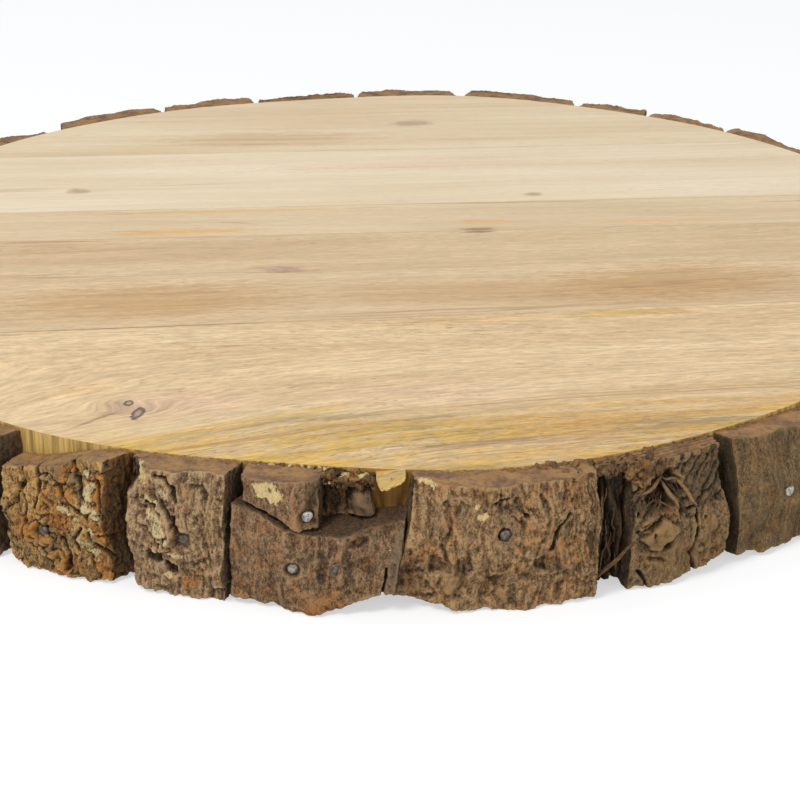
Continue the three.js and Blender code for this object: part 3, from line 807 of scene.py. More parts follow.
def box_uv(mesh, block):
    """A UV map that lays a block's six sides beside each other."""
    corner_vertex = read(mesh.loops, "vertex_index", np.int32, 1)[:, 0]
    starts = read(mesh.polygons, "loop_start", np.int32, 1)[:, 0]
    counts = read(mesh.polygons, "loop_total", np.int32, 1)[:, 0]
    normal = read(mesh.polygons, "normal")
    first = corner_vertex[starts]
    shares = np.column_stack([
        (normal * block.forward[first]).sum(1), normal[:, 2], (normal * block.outward[first]).sum(1),
    ])
    axis = np.abs(shares).argmax(1)
    side = 2 * axis + (shares[np.arange(len(axis)), axis] > 0)
    corner_side = np.repeat(side, counts)
    place = np.column_stack([block.along + block.width / 2, block.up, block.out])[corner_vertex]
    span = UV_MARGIN * max(block.width, BOARD_TOP)
    flat_axes = np.array([(2, 1), (0, 2), (0, 1)])[corner_side // 2]
    spread = np.take_along_axis(place, flat_axes, 1) / span
    tile = np.column_stack([corner_side % TILES[0], corner_side // TILES[0]])
    uv = (np.clip(spread, 0, TILE_FILL) + tile) / TILES
    layer = mesh.uv_layers.new(name="OFBake")
    layer.data.foreach_set("uv", uv.astype(np.float32).ravel())


def make_bark(name, materials):
    """Adds a block's bark to the scene and returns the block."""
    block = Block(name)
    sculpt(block)
    mesh = block.mesh
    shade_smooth(mesh)
    store(mesh, "relief", block.relief)
    store(mesh, "hue", np.clip(block.hue, 0, 1))
    for mask, values in block.masks.items():
        store(mesh, mask, np.clip(values, 0, 1))
    box_uv(mesh, block)
    add_piece(f"{name}_bark", mesh, materials[block.finish], "bark", name)
    return block


# Loose bits of torn bark. Places are (along, up) on a block, and out is from the rim.
# Crumbs: block, from where to where along, up and out, how many, their sizes, and their tints
CRUMBS = [
    ("bark_block_03_upper", (-9, 11), (36.9, 37.8), (0.3, 1.9), 46, (0.3, 0.9), dict(rust=0.7, cream=0.3)),
    ("bark_block_03_inner", (-7, 7), (33.8, 37.6), (1.5, 4.8), 90, (0.4, 1.3),
     dict(rust=0.35, cream=0.25, shade=0.25)),
    ("bark_block_04", (12, 26), (36.8, 37.6), (0.3, 3.2), 60, (0.4, 1.3),
     dict(rust=0.4, tan=0.6, shade=0.15)),
    ("bark_block_04", (18, 26), (35.8, 37.3), (1, 8), 50, (0.4, 1.2), dict(rust=0.4, tan=0.5, shade=0.2)),
    ("bark_block_05", (-4, 4), (35.8, 37.6), (0.4, 8), 50, (0.5, 1.3), dict(rust=0.3, tan=0.4, shade=0.4)),
    ("bark_block_06", (-16, -5), (34, 37.5), (0.6, 9), 120, (0.5, 1.5), dict(rust=0.35, tan=0.5, shade=0.3)),
    ("bark_block_06", (-6, 15), (36.4, 37.3), (0.3, 1.6), 30, (0.3, 0.7), dict(rust=0.2, tan=0.5, shade=0.4)),
]
CRUMB_TINTS = ("rust", "shade", "tan")
TINT_GAIN = 1.4  # the strongest tint that a crumb may draw, as a share of its group's
# Single strands: block, start, end, how far the middle is lifted, radius, tints
STRANDS = [
    ("bark_block_06", (-5.5, 31.0), (-2.7, 24.2), 1.2, 0.65, dict(tan=0.5)),
    ("bark_block_06", (-1.8, 31.2), (2.9, 23.9), 1.0, 0.6, dict(tan=0.4)),
    ("bark_block_06", (-12.6, 29.2), (-5.3, 32.1), 1.2, 0.55, dict(rust=0.3)),
    ("bark_block_06", (-5.3, 32.0), (-1.6, 31.4), 0.8, 0.4, dict(rust=0.3)),
    ("bark_block_06", (-15.4, 34.5), (-12.3, 31.4), 0.8, 0.5, dict(rust=0.4)),
    ("bark_block_03_lower", (18.8, 20.4), (23.0, 19.4), 0.5, 0.2, dict(cream=1.0)),
]
STRAND_RELIEF = 0.7
# The strand that bridges the sliver: block, ends as (along, up, out), lift, radius, tints
BRIDGE = ("bark_block_05", (-6.4, 5.5, 11.5), (5.6, 15.0, 10.5), 0.3, 0.65, dict(relief=0.4, shade=0.35))
# Fine fibres: block, where their middles lie, how many, how long, how far they lean from upright, and shade
FIBRES = [
    ("bark_block_06", (-6, 2), (24, 30), 8, (4, 8), (-45, -25), 0.5),
    ("bark_block_06", (-14, -7), (24, 30), 10, (3, 7), (35, 60), 0.4),
    ("bark_block_05", (-3.5, 3.5), (8, 31), 9, (5, 12), (-8, 8), 0.45),
    ("bark_block_03_inner", (-6, -1), (26, 33), 12, (2, 6), (-25, 25), 0.8),
    ("bark_block_04", (22, 26), (8, 33), 14, (3, 9), (-15, 25), 0.4),
]
FIBRE_RADII = (0.12, 0.3)
FIBRE_LIFT = (0, 0.6)
FIBRE_CLEAR = 0.6  # how far below the board's top the fibres end
STRAND_WANDER = 0.25
# A strand's radius at the least, and the part of a half wave that it follows from end to end
TAPER_LEAST, TAPER_SPAN = 0.35, 0.65
TAPER_FROM, TAPER_OVER = 0.1, 0.8
CRUMB_STRETCH = (0.6, 1.3)
CRUMB_BUMP = 0.6
CRUMB_APART = 50  # how far apart the crumbs lie in the noise
TUBE_SIDES = 6
TUBE_RINGS = 9
BIT_RELIEF = (0.15, 0.75)
NEAR_PLACE = 1.2  # how far round a place its surface is looked for


def unit_ball():
    """Points and faces of a small ball of radius 1."""
    shape = bmesh.new()
    bmesh.ops.create_icosphere(shape, subdivisions=2, radius=1.0)
    points = np.array([vertex.co[:] for vertex in shape.verts])
    faces = [tuple(vertex.index for vertex in face.verts) for face in shape.faces]
    shape.free()
    return points, faces


BALL_POINTS, BALL_FACES = unit_ball()


def surface_out(block, along, up):
    """How far a sculpted block reaches out from the rim at a place on its face."""
    x, y, z = block.points.T
    near = (np.abs(block.along - along) < NEAR_PLACE) & (np.abs(z - up) < NEAR_PLACE)
    if not near.any():
        return block.deepest
    return float((np.hypot(x, y) - rim_radius(np.arctan2(y, x)))[near].max())


def rim_point(block, along, up, out):
    angle = block.middle + along / RIM_MEAN
    radius = rim_radius(angle) + out
    return np.array([radius * math.cos(angle), radius * math.sin(angle), up])


def on_face(block, *places):
    """Points of a sculpted block's face at places (along, up)."""
    return [rim_point(block, *place, surface_out(block, *place)) for place in places]


class Bits:
    """Small bits of bark gathered into one mesh, each with its own colour."""

    def __init__(self, seed):
        self.random = np.random.default_rng(seed)
        self.points = []
        self.faces = []
        self.count = 0
        self.values = {name: [] for name in ("relief", "hue", "rust", "cream", "shade", "tan")}

    def add(self, points, faces, values):
        self.faces += [tuple(corner + self.count for corner in face) for face in faces]
        self.points.append(points)
        self.count += len(points)
        tints = dict(relief=self.random.uniform(*BIT_RELIEF), hue=self.random.random()) | values
        for name, kept in self.values.items():
            kept.append(np.full(len(points), tints.get(name, 0.0)))

    def crumb(self, place, size, values):
        stretch = size * self.random.uniform(*CRUMB_STRETCH, 3)
        bumps = 1 + CRUMB_BUMP * noise(BALL_POINTS + CRUMB_APART * self.random.random(3), *CRUMB_BUMPS)
        turn = np.array(Euler(self.random.uniform(0, TURN, 3)).to_matrix())
        self.add(place + (BALL_POINTS * stretch * bumps[:, None]) @ turn, BALL_FACES, values)

    def fibre(self, start, end, lift, radius, values):
        """A tapering strand that bows outward and wanders a little."""
        share = np.linspace(0, 1, TUBE_RINGS)[:, None]
        outward = np.array([start[0], start[1], 0]) / math.hypot(start[0], start[1])
        wander = self.random.normal(0, STRAND_WANDER, (2, 3))
        path = start + (end - start) * share + outward * lift * np.sin(math.pi * share)
        path = path + wander[0] * np.sin(TURN * share) + wander[1] * np.sin(1.5 * TURN * share)
        ahead = np.gradient(path, axis=0)
        side = np.cross(ahead, outward)
        side /= np.linalg.norm(side, axis=1)[:, None]
        over = np.cross(side, ahead)
        over /= np.linalg.norm(over, axis=1)[:, None]
        half_wave = np.sin(math.pi * (TAPER_FROM + TAPER_OVER * share))
        taper = radius * (TAPER_LEAST + TAPER_SPAN * half_wave)
        angles = TURN * np.arange(TUBE_SIDES) / TUBE_SIDES
        rings = [path + taper * (side * math.cos(angle) + over * math.sin(angle)) for angle in angles]
        points = np.stack(rings, 1).reshape(-1, 3)
        faces = []
        for ring in range(TUBE_RINGS - 1):
            for step in range(TUBE_SIDES):
                following = (step + 1) % TUBE_SIDES
                low, high = ring * TUBE_SIDES, (ring + 1) * TUBE_SIDES
                faces.append((low + step, low + following, high + following, high + step))
        faces.append(tuple(range(TUBE_SIDES - 1, -1, -1)))
        faces.append(tuple(range(len(points) - TUBE_SIDES, len(points))))
        self.add(points, faces, values)

    def finish(self, name, material):
        mesh = bpy.data.meshes.new(name)
        mesh.from_pydata(np.concatenate(self.points) * MM, [], self.faces)
        shade_smooth(mesh)
        for value, kept in self.values.items():
            store(mesh, value, np.concatenate(kept))
        add_piece(name, mesh, material, "bark")


def add_crumbs(blocks, material):
    bits = Bits(seed=3)
    for name, *spans, count, sizes, tints in CRUMBS:
        for _ in range(count):
            along, up, out, size = (bits.random.uniform(*span) for span in (*spans, sizes))
            values = {}
            for mask in CRUMB_TINTS:
                values[mask] = min(TINT_GAIN * tints.get(mask, 0.0) * bits.random.random(), 1.0)
            values["cream"] = float(bits.random.random() < tints.get("cream", 0.0))
            bits.crumb(rim_point(blocks[name], along, up, out), size, values)
    bits.finish("rim_crumbs_bark", material)


def add_fibres(blocks, material):
    bits = Bits(seed=5)
    for name, start, end, lift, radius, tints in STRANDS:
        bits.fibre(*on_face(blocks[name], start, end), lift, radius, tints | dict(relief=STRAND_RELIEF))
    name, start, end, *rest = BRIDGE
    bits.fibre(rim_point(blocks[name], *start), rim_point(blocks[name], *end), *rest)
    for name, *spans, count, lengths, leans, shade in FIBRES:
        for _ in range(count):
            along, up = (bits.random.uniform(*span) for span in spans)
            lean = math.radians(bits.random.uniform(*leans))
            half = bits.random.uniform(*lengths) / 2
            reach = (half * math.sin(lean), half * math.cos(lean))
            low = (along - reach[0], up - reach[1])
            high = (along + reach[0], min(up + reach[1], BOARD_TOP - FIBRE_CLEAR))
            radius = bits.random.uniform(*FIBRE_RADII)
            lift = bits.random.uniform(*FIBRE_LIFT)
            bits.fibre(*on_face(blocks[name], low, high), lift, radius, dict(shade=shade))
    bits.finish("torn_fibres_bark", material)


# Materials
class Nodes:
    """The node tree of a material or of the world, built by plain calls."""

    def __init__(self, owner):
        owner.use_nodes = True
        self.owner = owner
        self.tree = owner.node_tree

    def add(self, kind, inputs, **settings):
        node = self.tree.nodes.new(kind)
        for key, value in settings.items():
            setattr(node, key, value)
        for key, value in inputs.items():
            self.feed(node.inputs[key], value)
        return node

    def feed(self, socket, value):
        if isinstance(value, bpy.types.NodeSocket):
            self.tree.links.new(value, socket)
        else:
            socket.default_value = value

    def math(self, operation, a, b=0.0, c=0.0, clamp=False):
        node = self.add("ShaderNodeMath", {0: a, 1: b, 2: c}, operation=operation, use_clamp=clamp)
        return node.outputs[0]

    def times(self, a, b):
        return self.math("MULTIPLY", a, b)

    def minus(self, a, b):
        return self.math("SUBTRACT", a, b)

    def fused(self, a, b, c, clamp=False):
        """a times b plus c."""
        return self.math("MULTIPLY_ADD", a, b, c, clamp)

    def vector(self, operation, a, b):
        return self.add("ShaderNodeVectorMath", {0: a, 1: b}, operation=operation).outputs[0]

    def millimetres(self):
        place = self.add("ShaderNodeTexCoord", {}).outputs["Object"]
        return self.vector("MULTIPLY", place, (1 / MM,) * 3)

    def noise(self, place, size, detail=2.0, roughness=0.5):
        """Noise from 0 to 1 with this wavelength along each axis."""
        size = size if isinstance(size, tuple) else (size,) * 3
        scaled = self.vector("MULTIPLY", place, tuple(1 / part for part in size))
        inputs = {"Vector": scaled, "Scale": 1.0, "Detail": detail, "Roughness": roughness}
        return self.add("ShaderNodeTexNoise", inputs).outputs["Fac"]

    def between(self, value, low, high, to_low=0.0, to_high=1.0):
        inputs = {"Value": value, "From Min": low, "From Max": high, "To Min": to_low, "To Max": to_high}
        return self.add("ShaderNodeMapRange", inputs, interpolation_type="SMOOTHSTEP").outputs["Result"]

    def mix(self, share, a, b, blend="MIX"):
        node = self.add("ShaderNodeMix", {}, data_type="RGBA", blend_type=blend)
        for socket, value in ((node.inputs[0], share), (node.inputs[6], a), (node.inputs[7], b)):
            self.feed(socket, value)
        return node.outputs[2]

    def ramp(self, value, *stops):
        """A colour for a value: stops are (position, colour)."""
        node = self.add("ShaderNodeValToRGB", {"Fac": value})
        elements = node.color_ramp.elements
        while len(elements) < len(stops):
            elements.new(0.5)
        for element, (position, colour) in zip(elements, stops):
            element.position = position
            element.color = colour
        return node.outputs["Color"]

    def split(self, vector):
        return self.add("ShaderNodeSeparateXYZ", {0: vector}).outputs

    def mask(self, name):
        return self.add("ShaderNodeAttribute", {}, attribute_name=name).outputs["Fac"]

    def bump(self, height, distance, strength=1.0):
        """A bump of this height in millimetres."""
        inputs = {"Height": height, "Distance": distance * MM, "Strength": strength}
        return self.add("ShaderNodeBump", inputs).outputs["Normal"]

    def finish(self, colour, roughness, normal, **others):
        shader = self.tree.nodes["Principled BSDF"]
        inputs = {"Base Color": colour, "Roughness": roughness, "Normal": normal} | others
        for name, value in inputs.items():
            self.feed(shader.inputs[name], value)
        return self.owner


CREAM = linear(226, 200, 142)
CREAM_DARK = linear(190, 152, 96)
LICHEN = linear(212, 192, 142)
LICHEN_DARK = linear(112, 100, 72)
RUST = linear(182, 114, 46)
RUST_DARK = linear(98, 56, 22)
ASH = linear(112, 98, 74)
SLATE = linear(106, 97, 80)
SAWN = linear(142, 110, 88)
SAWN_DARK = linear(100, 76, 62)
INNER = linear(186, 142, 88)
# Dark colour of the pits and of the painted shade in cracks, hollows and gaps
PIT_AND_SHADE_DARK = linear(28, 20, 14)
TAN = linear(160, 126, 82)

# Dark, middle and light colour of the bark's face, and the shares of rust, of ash and of pits in it
BARK_LOOKS = {
    "plated": ((42, 30, 19), (142, 106, 62), (202, 162, 103), 0.8, 0.6, 0.3),
    "striated": ((56, 43, 31), (130, 103, 74), (196, 162, 121), 0.25, 0.35, 0.2),
    "grainy": ((56, 41, 29), (110, 83, 58), (168, 134, 99), 0.25, 0.2, 0.12),
    "lumpy": ((58, 43, 29), (128, 98, 67), (188, 151, 106), 0.4, 0.25, 0.12),
    # the sliver's fibrous face is painted very dark: its own dark fibres, and painted shade of its recess
    "fibrous": ((16, 12, 8), (44, 33, 22), (84, 64, 43), 0.2, 0.2, 0.3),
    "torn": ((40, 30, 20), (106, 83, 57), (160, 129, 89), 0.3, 0.3, 0.2),
    "smooth": ((48, 37, 25), (104, 82, 54), (148, 120, 82), 0.15, 0.3, 0.04),
}
# Noise of the bark's colours: wavelengths in x, y and z, detail and roughness
BARK_GRAIN = ((0.6, 0.6, 1.0), 5, 0.72)
BARK_SPECK = ((0.34, 0.34, 0.5), 2, 0.7)
BARK_PATCH = ((6.0, 6.0, 9.0), 4, 0.6)
BARK_PITS = ((0.5, 0.5, 0.8), 2, 0.6)
SAW_GRAIN = ((2.0, 2.0, 1.0), 6, 0.75)
# How much the tone follows each, and where it starts
RELIEF_TONE, GRAIN_TONE, PATCH_TONE, SPECK_TONE = 0.75, 1.3, 0.45, 1.3
TONE_START = -1.33
GRAIN_WARMTH = 1.2  # how much the grain loosens the areas of rust and ash
CHIP_BREAK = 2.2  # how much it breaks the edges of flakes and chips
# How much of each layer shows at the most, the last being the painted shade's
RUST_SHARE, SLATE_SHARE, TAN_SHARE, SAWN_SHARE, SHADE_SHARE = 0.7, 0.75, 0.85, 0.9, 0.78
# From where to where the patterns come in
TONE_STOPS = (0.08, 0.48, 0.88)
RUSTY, ASHEN, RUST_RELIEF = (0.5, 0.8), (0.45, 0.2), (0.1, 0.5)
SAW_SPAN, INNER_PATCH, INNER_SPAN = (0.3, 0.7), (0.3, 0.6), (0.3, 0.6)
CHIP_TONE, CHIP_EDGE = (0.15, 0.6), (0.45, 0.62)
PIT_SPAN = (0.42, 0.32)
BARK_ROUGH = (0.2, 0.8, 0.98, 0.8)
SPECK_BUMP = 0.5
BARK_BUMP = 0.55
BARK_GLOSS = 0.25


def bark_material(finish):
    *colours, rusty, ashen, pitted = BARK_LOOKS[finish]
    dark, middle, light = (linear(*colour) for colour in colours)
    nodes = Nodes(bpy.data.materials.new(f"bark_{finish}"))
    place = nodes.millimetres()
    grain = nodes.noise(place, *BARK_GRAIN)
    speck = nodes.noise(place, *BARK_SPECK)
    patch = nodes.noise(place, *BARK_PATCH)

    # Tone follows the relief, as painted shade in hollows and painted light on ridges, loosened by grain and
    # broad patches
    tone = nodes.fused(nodes.mask("relief"), RELIEF_TONE, TONE_START)
    for pattern, share in ((grain, GRAIN_TONE), (patch, PATCH_TONE), (speck, SPECK_TONE)):
        tone = nodes.fused(pattern, share, tone)
    colour = nodes.ramp(tone, *zip(TONE_STOPS, (dark, middle, light)))

    # Rusty inner layers, ashen weathered ones, and places of slate and of tan
    warm = nodes.fused(nodes.minus(grain, 0.5), GRAIN_WARMTH, nodes.mask("hue"))
    rust = nodes.fused(nodes.between(warm, *RUSTY), rusty, nodes.mask("rust"), clamp=True)
    rust = nodes.times(rust, nodes.between(nodes.mask("relief"), *RUST_RELIEF))
    layers = [
        (rust, RUST_SHARE, (0.1, RUST_DARK), (0.7, RUST)),
        (nodes.between(warm, *ASHEN), ashen, (0.1, dark), (0.7, ASH)),
        (nodes.mask("slate"), SLATE_SHARE, (0.0, dark), (0.55, SLATE)),
        (nodes.mask("tan"), TAN_SHARE, (0.0, middle), (0.5, TAN)),
    ]
    for area, share, low, high in layers:
        colour = nodes.mix(nodes.times(area, share), colour, nodes.ramp(tone, low, high))

    # Sawn top: purple-brown outside, orange towards the rim
    saw = nodes.noise(place, *SAW_GRAIN)
    sawn = nodes.mix(nodes.between(saw, *SAW_SPAN), SAWN_DARK, SAWN)
    inner = nodes.times(nodes.mask("inner"), nodes.between(patch, *INNER_PATCH))
    sawn = nodes.mix(inner, sawn, nodes.mix(nodes.between(saw, *INNER_SPAN), SAWN, INNER))
    colour = nodes.mix(nodes.times(nodes.mask("sawn"), SAWN_SHARE), colour, sawn)

    # Flakes and chips, with edges broken by the grain
    for name, pale, dim in (("lichen", LICHEN, LICHEN_DARK), ("cream", CREAM, CREAM_DARK)):
        broken = nodes.fused(nodes.minus(grain, 0.5), CHIP_BREAK, nodes.mask(name))
        chip = nodes.mix(nodes.between(tone, *CHIP_TONE), dim, pale)
        colour = nodes.mix(nodes.between(broken, *CHIP_EDGE), colour, chip)

    # Dark pits between the grains, and painted shade in cracks, hollows and gaps
    pits = nodes.between(nodes.noise(place, *BARK_PITS), *PIT_SPAN, 0.0, pitted)
    pits_and_shade = nodes.math("MAXIMUM", pits, nodes.times(nodes.mask("shade"), SHADE_SHARE))
    colour = nodes.mix(pits_and_shade, colour, PIT_AND_SHADE_DARK)

    bump = nodes.bump(nodes.fused(speck, SPECK_BUMP, grain), BARK_BUMP)
    roughness = nodes.between(grain, *BARK_ROUGH)
    return nodes.finish(colour, roughness, bump, **{"Specular IOR Level": BARK_GLOSS})


# Wood. Each plank: tilt and bow of its grain, its place in the noise, its pale and its dark colour, and how
# deep its fibres show
PLANK_LOOKS = {
    "front_plank": (0.193, 0.00081, 40, (234, 206, 163), (214, 182, 138), 1.0),
    "tapered_plank": (0.02, 0, 310, (224, 197, 157), (202, 170, 128), 0.65),
    "narrow_plank": (-0.03, 0, 570, (230, 207, 170), (210, 182, 142), 0.45),
    "wide_plank": (0.01, 0, 820, (240, 223, 192), (226, 202, 166), 0.3),
    "back_plank": (-0.02, 0, 1090, (234, 214, 180), (216, 188, 146), 0.35),
}
FULL_LEAN = (-85.0, -160.0)  # from where to where a bowed grain comes to lean in full
GOLD = linear(212, 171, 82)
YELLOW = linear(228, 184, 84)
OLIVE = linear(150, 132, 94)
BROWN_GOLD = linear(208, 164, 95)
HEART = linear(196, 155, 104)
PINK = linear(228, 192, 160)
ORANGE = linear(226, 178, 106)
MAUVE = linear(180, 146, 122)
INK = linear(96, 74, 74)
UMBER = linear(140, 98, 62)
GRAIN_LINE = linear(168, 126, 88)
PORE = linear(142, 110, 76)
SEAM_LINE = linear(112, 84, 54)
RIM_PALE = linear(214, 178, 106)
RIM_DARK = linear(140, 112, 56)
AMBER = linear(172, 120, 54)
TONGUE_CREAM = linear(222, 190, 128)


def stain(at, reach, colour, strength, turn=0.0, streaky=0.0, ring=False):
    """A stain on the top: middle, half sizes, how much follows the streaks, and if its middle is clear."""
    return dict(at=at, reach=reach, colour=colour, strength=strength, turn=turn, streaky=streaky, ring=ring)


STAINS = {
    "front_plank": [
        stain((-70, -146), (34, 15), PINK, 0.6),
        stain((4, -143), (52, 13), PINK, 0.5),
        stain((-101, -134), (16, 8), ORANGE, 0.3, turn=14, streaky=0.6),
        stain((72, -80.5), (34, 4.5), GOLD, 0.75, turn=2, streaky=0.5),
        stain((16, -84), (46, 4), ORANGE, 0.5, turn=2, streaky=0.7),
        stain((-86, -149), (13, 7), MAUVE, 0.45),
        stain((-95.5, -156), (11, 1.1), UMBER, 0.6, turn=42),
        stain((-86.2, -144.3), (1.6, 2.5), INK, 0.9, ring=True),
        stain((-83.3, -152), (2.1, 5.4), INK, 0.95, turn=-16, ring=True),
    ],
    "tapered_plank": [
        stain((-84, -58), (66, 24), HEART, 0.95, streaky=0.4),
        stain((20, -56), (70, 18), HEART, 0.5, streaky=0.7),
        stain((92, -52), (62, 24), HEART, 1.0, turn=4, streaky=0.35),
        stain((-37, -30), (15, 5), MAUVE, 0.8, turn=-8),
        stain((33, 5.2), (8, 1.8), UMBER, 0.8),
    ],
    "narrow_plank": [
        stain((33, 8.2), (8, 2.4), UMBER, 0.7),
        stain((-74, 13.5), (38, 4.5), ORANGE, 0.9, streaky=0.6),
        stain((36, 16), (14, 4), ORANGE, 0.6),
        stain((-56, 36), (70, 3), ORANGE, 0.6, streaky=0.4),
        stain((100, 13), (40, 4), ORANGE, 0.5, streaky=0.5),
    ],
    "wide_plank": [
        stain((-113.7, 65.2), (6, 5), UMBER, 0.5),
        stain((58.1, 48.5), (5, 3), UMBER, 0.5),
        stain((20, 90), (90, 12), PINK, 0.5, streaky=0.5),
    ],
    "back_plank": [
        stain((20, 150), (12, 7), MAUVE, 0.7),
        stain((-40, 130), (60, 14), HEART, 0.6, streaky=0.5),
    ],
}
# Knots that the grain swerves round: middle and half sizes
PLANK_KNOTS = {
    "front_plank": [((-85.0, -147.0), (26.0, 12.0))],
    "tapered_plank": [((-37.0, -30.0), (24.0, 9.0))],
    "narrow_plank": [((33.0, 8.0), (14.0, 5.0))],
    "wide_plank": [((-113.0, 65.0), (12.0, 6.0)), ((58.0, 49.0), (9.0, 4.0))],
    "back_plank": [((20.0, 150.0), (22.0, 10.0))],
}
KNOT_SWERVE = 0.8
WANDER_GRAIN = ((130.0, 40.0, 40.0), 2)
WANDER_REACH = 8.0
# Streaks along the grain: length, width, detail and roughness
FIBRE_STREAK = (13.0, 1.5, 4, 0.65)
HAIR_STREAK = (4.0, 0.8, 2, 0.6)
TONE_STREAK = (170.0, 4.5, 5, 0.6)
BROAD_STREAK = (150.0, 20.0)
CROWD_STREAK = (60.0, 9.0, 3)
FLECKS = (3.0, 0.8, 3, 0.7)
LINES = (420.0, 15.0)
LINES_SHOWN = (90.0, 16.0)
DASHES = (5.0, 1.0, 2, 0.6)
GOLD_STREAK = (60.0, 5.0, 4, 0.6)
OLIVE_STREAK = (45.0, 4.0, 4, 0.6)
LIP_STREAK = (25.0, 6.0, 3)
OLIVE_START = (37.0, 91.0, 0.0)  # keeps the olive streaks apart from the gold ones
FRONT_BAND = (-130.0, -162.0)  # where the front edge's colours come in, across the grain
BAND_SHIFT = (-30.0, 20.0, 0.0, 14.0)  # and how far they move back towards the right
BROWN_FROM = (0.0, 45.0)
LIP_BAND = (186.0, 200.0)
FLECKED = ((4.0, -92.0), (75.0, 17.0))
# From where to where the patterns come in, and how much of each shows at the most
WOOD_SPAN = (0.32, 0.7)
CROWD_SPAN = (0.42, 0.68, 0.25, 0.9)
GOLD_SPAN, GOLD_MOST = (0.38, 0.56), 0.95
OLIVE_SPAN, OLIVE_MOST = (0.52, 0.62), 0.75
LIP_SPAN, LIP_MOST = (0.42, 0.58), 0.6
LINE_SPAN, LINE_SHOWN_SPAN, GRAIN_LINE_MOST = (0.014, 0.0), (0.46, 0.6), 0.6
PORE_SPAN, PORE_MOST = (0.58, 0.7), 0.65
FLECK_MOST = 0.6
# How much the fibres loosen the edges of the streaks, the front band, the lip and the stains
FIBRE_SHARE, HAIR_SHARE = 0.6, 0.4
TONE_STRAY, GOLD_STRAY, BAND_STRAY, LIP_STRAY, STAIN_STRAY = 0.8, 0.9, 30.0, 12.0, 1.6
# Light and shade of the fibres and of the flecks
FIBRE_STOPS = ((0.3, (0.8, 0.792, 0.776, 1.0)), (0.7, (1.15, 1.15, 1.15, 1.0)))
FLECK_STOPS = ((0.35, (0.7, 0.68, 0.6, 1.0)), (0.65, (1.2, 1.2, 1.2, 1.0)))
JOINT_AREA = 1e-3  # least area of half a joint's side, in square metres
UPRIGHT = 0.3  # faces that tilt less than this from upright are sides
SEAM_SIDE = (0.8, 0.1)  # from where to where the dark line along a glue joint comes in
SEAM_WEAR = ((22.0, 3.0, 3.0), 3)
WEAR_SPAN = (0.35, 0.6, 0.2, 1.0)
SEAM_FAINT = 0.2
SEAM_DARKENS = (-30.0, -60.0, SEAM_FAINT, 0.9)  # the front plank's glue line is darker at the left
STAIN_SIDE = (1.0, 0.25)  # from where to where a stain or a knot comes in, in half sizes
RING_OUTSIDE, RING_INSIDE = (1.0, 0.8), (0.3, 0.65, 0.45, 1.0)  # the same for stains with a clear middle
STREAKY_SPAN = (0.36, 0.62)
RIM_STREAK = ((1.6, 30.0, 1.0), 4, 0.65)
RIM_SPAN = (0.32, 0.66)
BESIDE_TONGUE, AMBER_MOST = (16.0, 6.0), 0.8
SIDE_TILT = (0.75, 0.35)
OFF_TONGUE, ON_TONGUE, TONGUE_MOST = (0.8, 0.1), (0.3, 0.7), 0.55
TONGUE_PIT, TONGUE_PIT_SPAN, TONGUE_PIT_MOST = 1.8, (0.62, 0.7), 0.9
FIBRE_HEIGHT, PORE_HEIGHT, TONGUE_PIT_DEPTH = 0.5, -1.0, 3.0
WOOD_ROUGH = (0.3, 0.7, 0.62, 0.5)
WOOD_BUMP, WOOD_BUMP_SHARE = 0.1, 0.7
WOOD_GLOSS = 0.3


def streaks(nodes, grain, length, width, detail=2.0, roughness=0.5):
    """Noise drawn out along the grain."""
    return nodes.noise(grain, (length, width, width), detail, roughness)


def round_gap(nodes, place, middle, reach, turn=0.0):
    """Distance from a point of the top, as a share of these half sizes."""
    gap = nodes.vector("SUBTRACT", place, (*middle, BOARD_TOP))
    x, y, _ = nodes.split(gap)
    cosine, sine = math.cos(math.radians(turn)), math.sin(math.radians(turn))
    across = nodes.fused(x, cosine / reach[0], nodes.times(y, sine / reach[0]))
    upward = nodes.fused(y, cosine / reach[1], nodes.times(x, -sine / reach[1]))
    return nodes.math("SQRT", nodes.fused(across, across, nodes.times(upward, upward)))


def round_mask(nodes, place, middle, reach):
    """1 at a point of the top, falling to 0 at these distances from it."""
    return nodes.between(round_gap(nodes, place, middle, reach), *STAIN_SIDE)


def grain_place(nodes, place, plank):
    """Coordinates along the grain, which bows, wanders and swerves round knots, and the level across it."""
    tilt, bow, start, *_ = PLANK_LOOKS[plank]
    x, y, z = nodes.split(place)
    rise = nodes.fused(x, tilt, nodes.times(nodes.times(x, x), -bow))
    lean = nodes.between(y, *FULL_LEAN) if bow else 1.0
    level = nodes.minus(y, nodes.times(rise, lean))
    for middle, reach in PLANK_KNOTS[plank]:
        swerve = nodes.times(round_mask(nodes, place, middle, reach), KNOT_SWERVE)
        level = nodes.minus(level, nodes.times(nodes.minus(y, middle[1]), swerve))
    wander = nodes.noise(place, *WANDER_GRAIN)
    level = nodes.fused(nodes.minus(wander, 0.5), WANDER_REACH, level)
    joined = nodes.add("ShaderNodeCombineXYZ", {0: x, 1: level, 2: z}).outputs[0]
    return nodes.vector("ADD", joined, (start, start, 0.0)), level


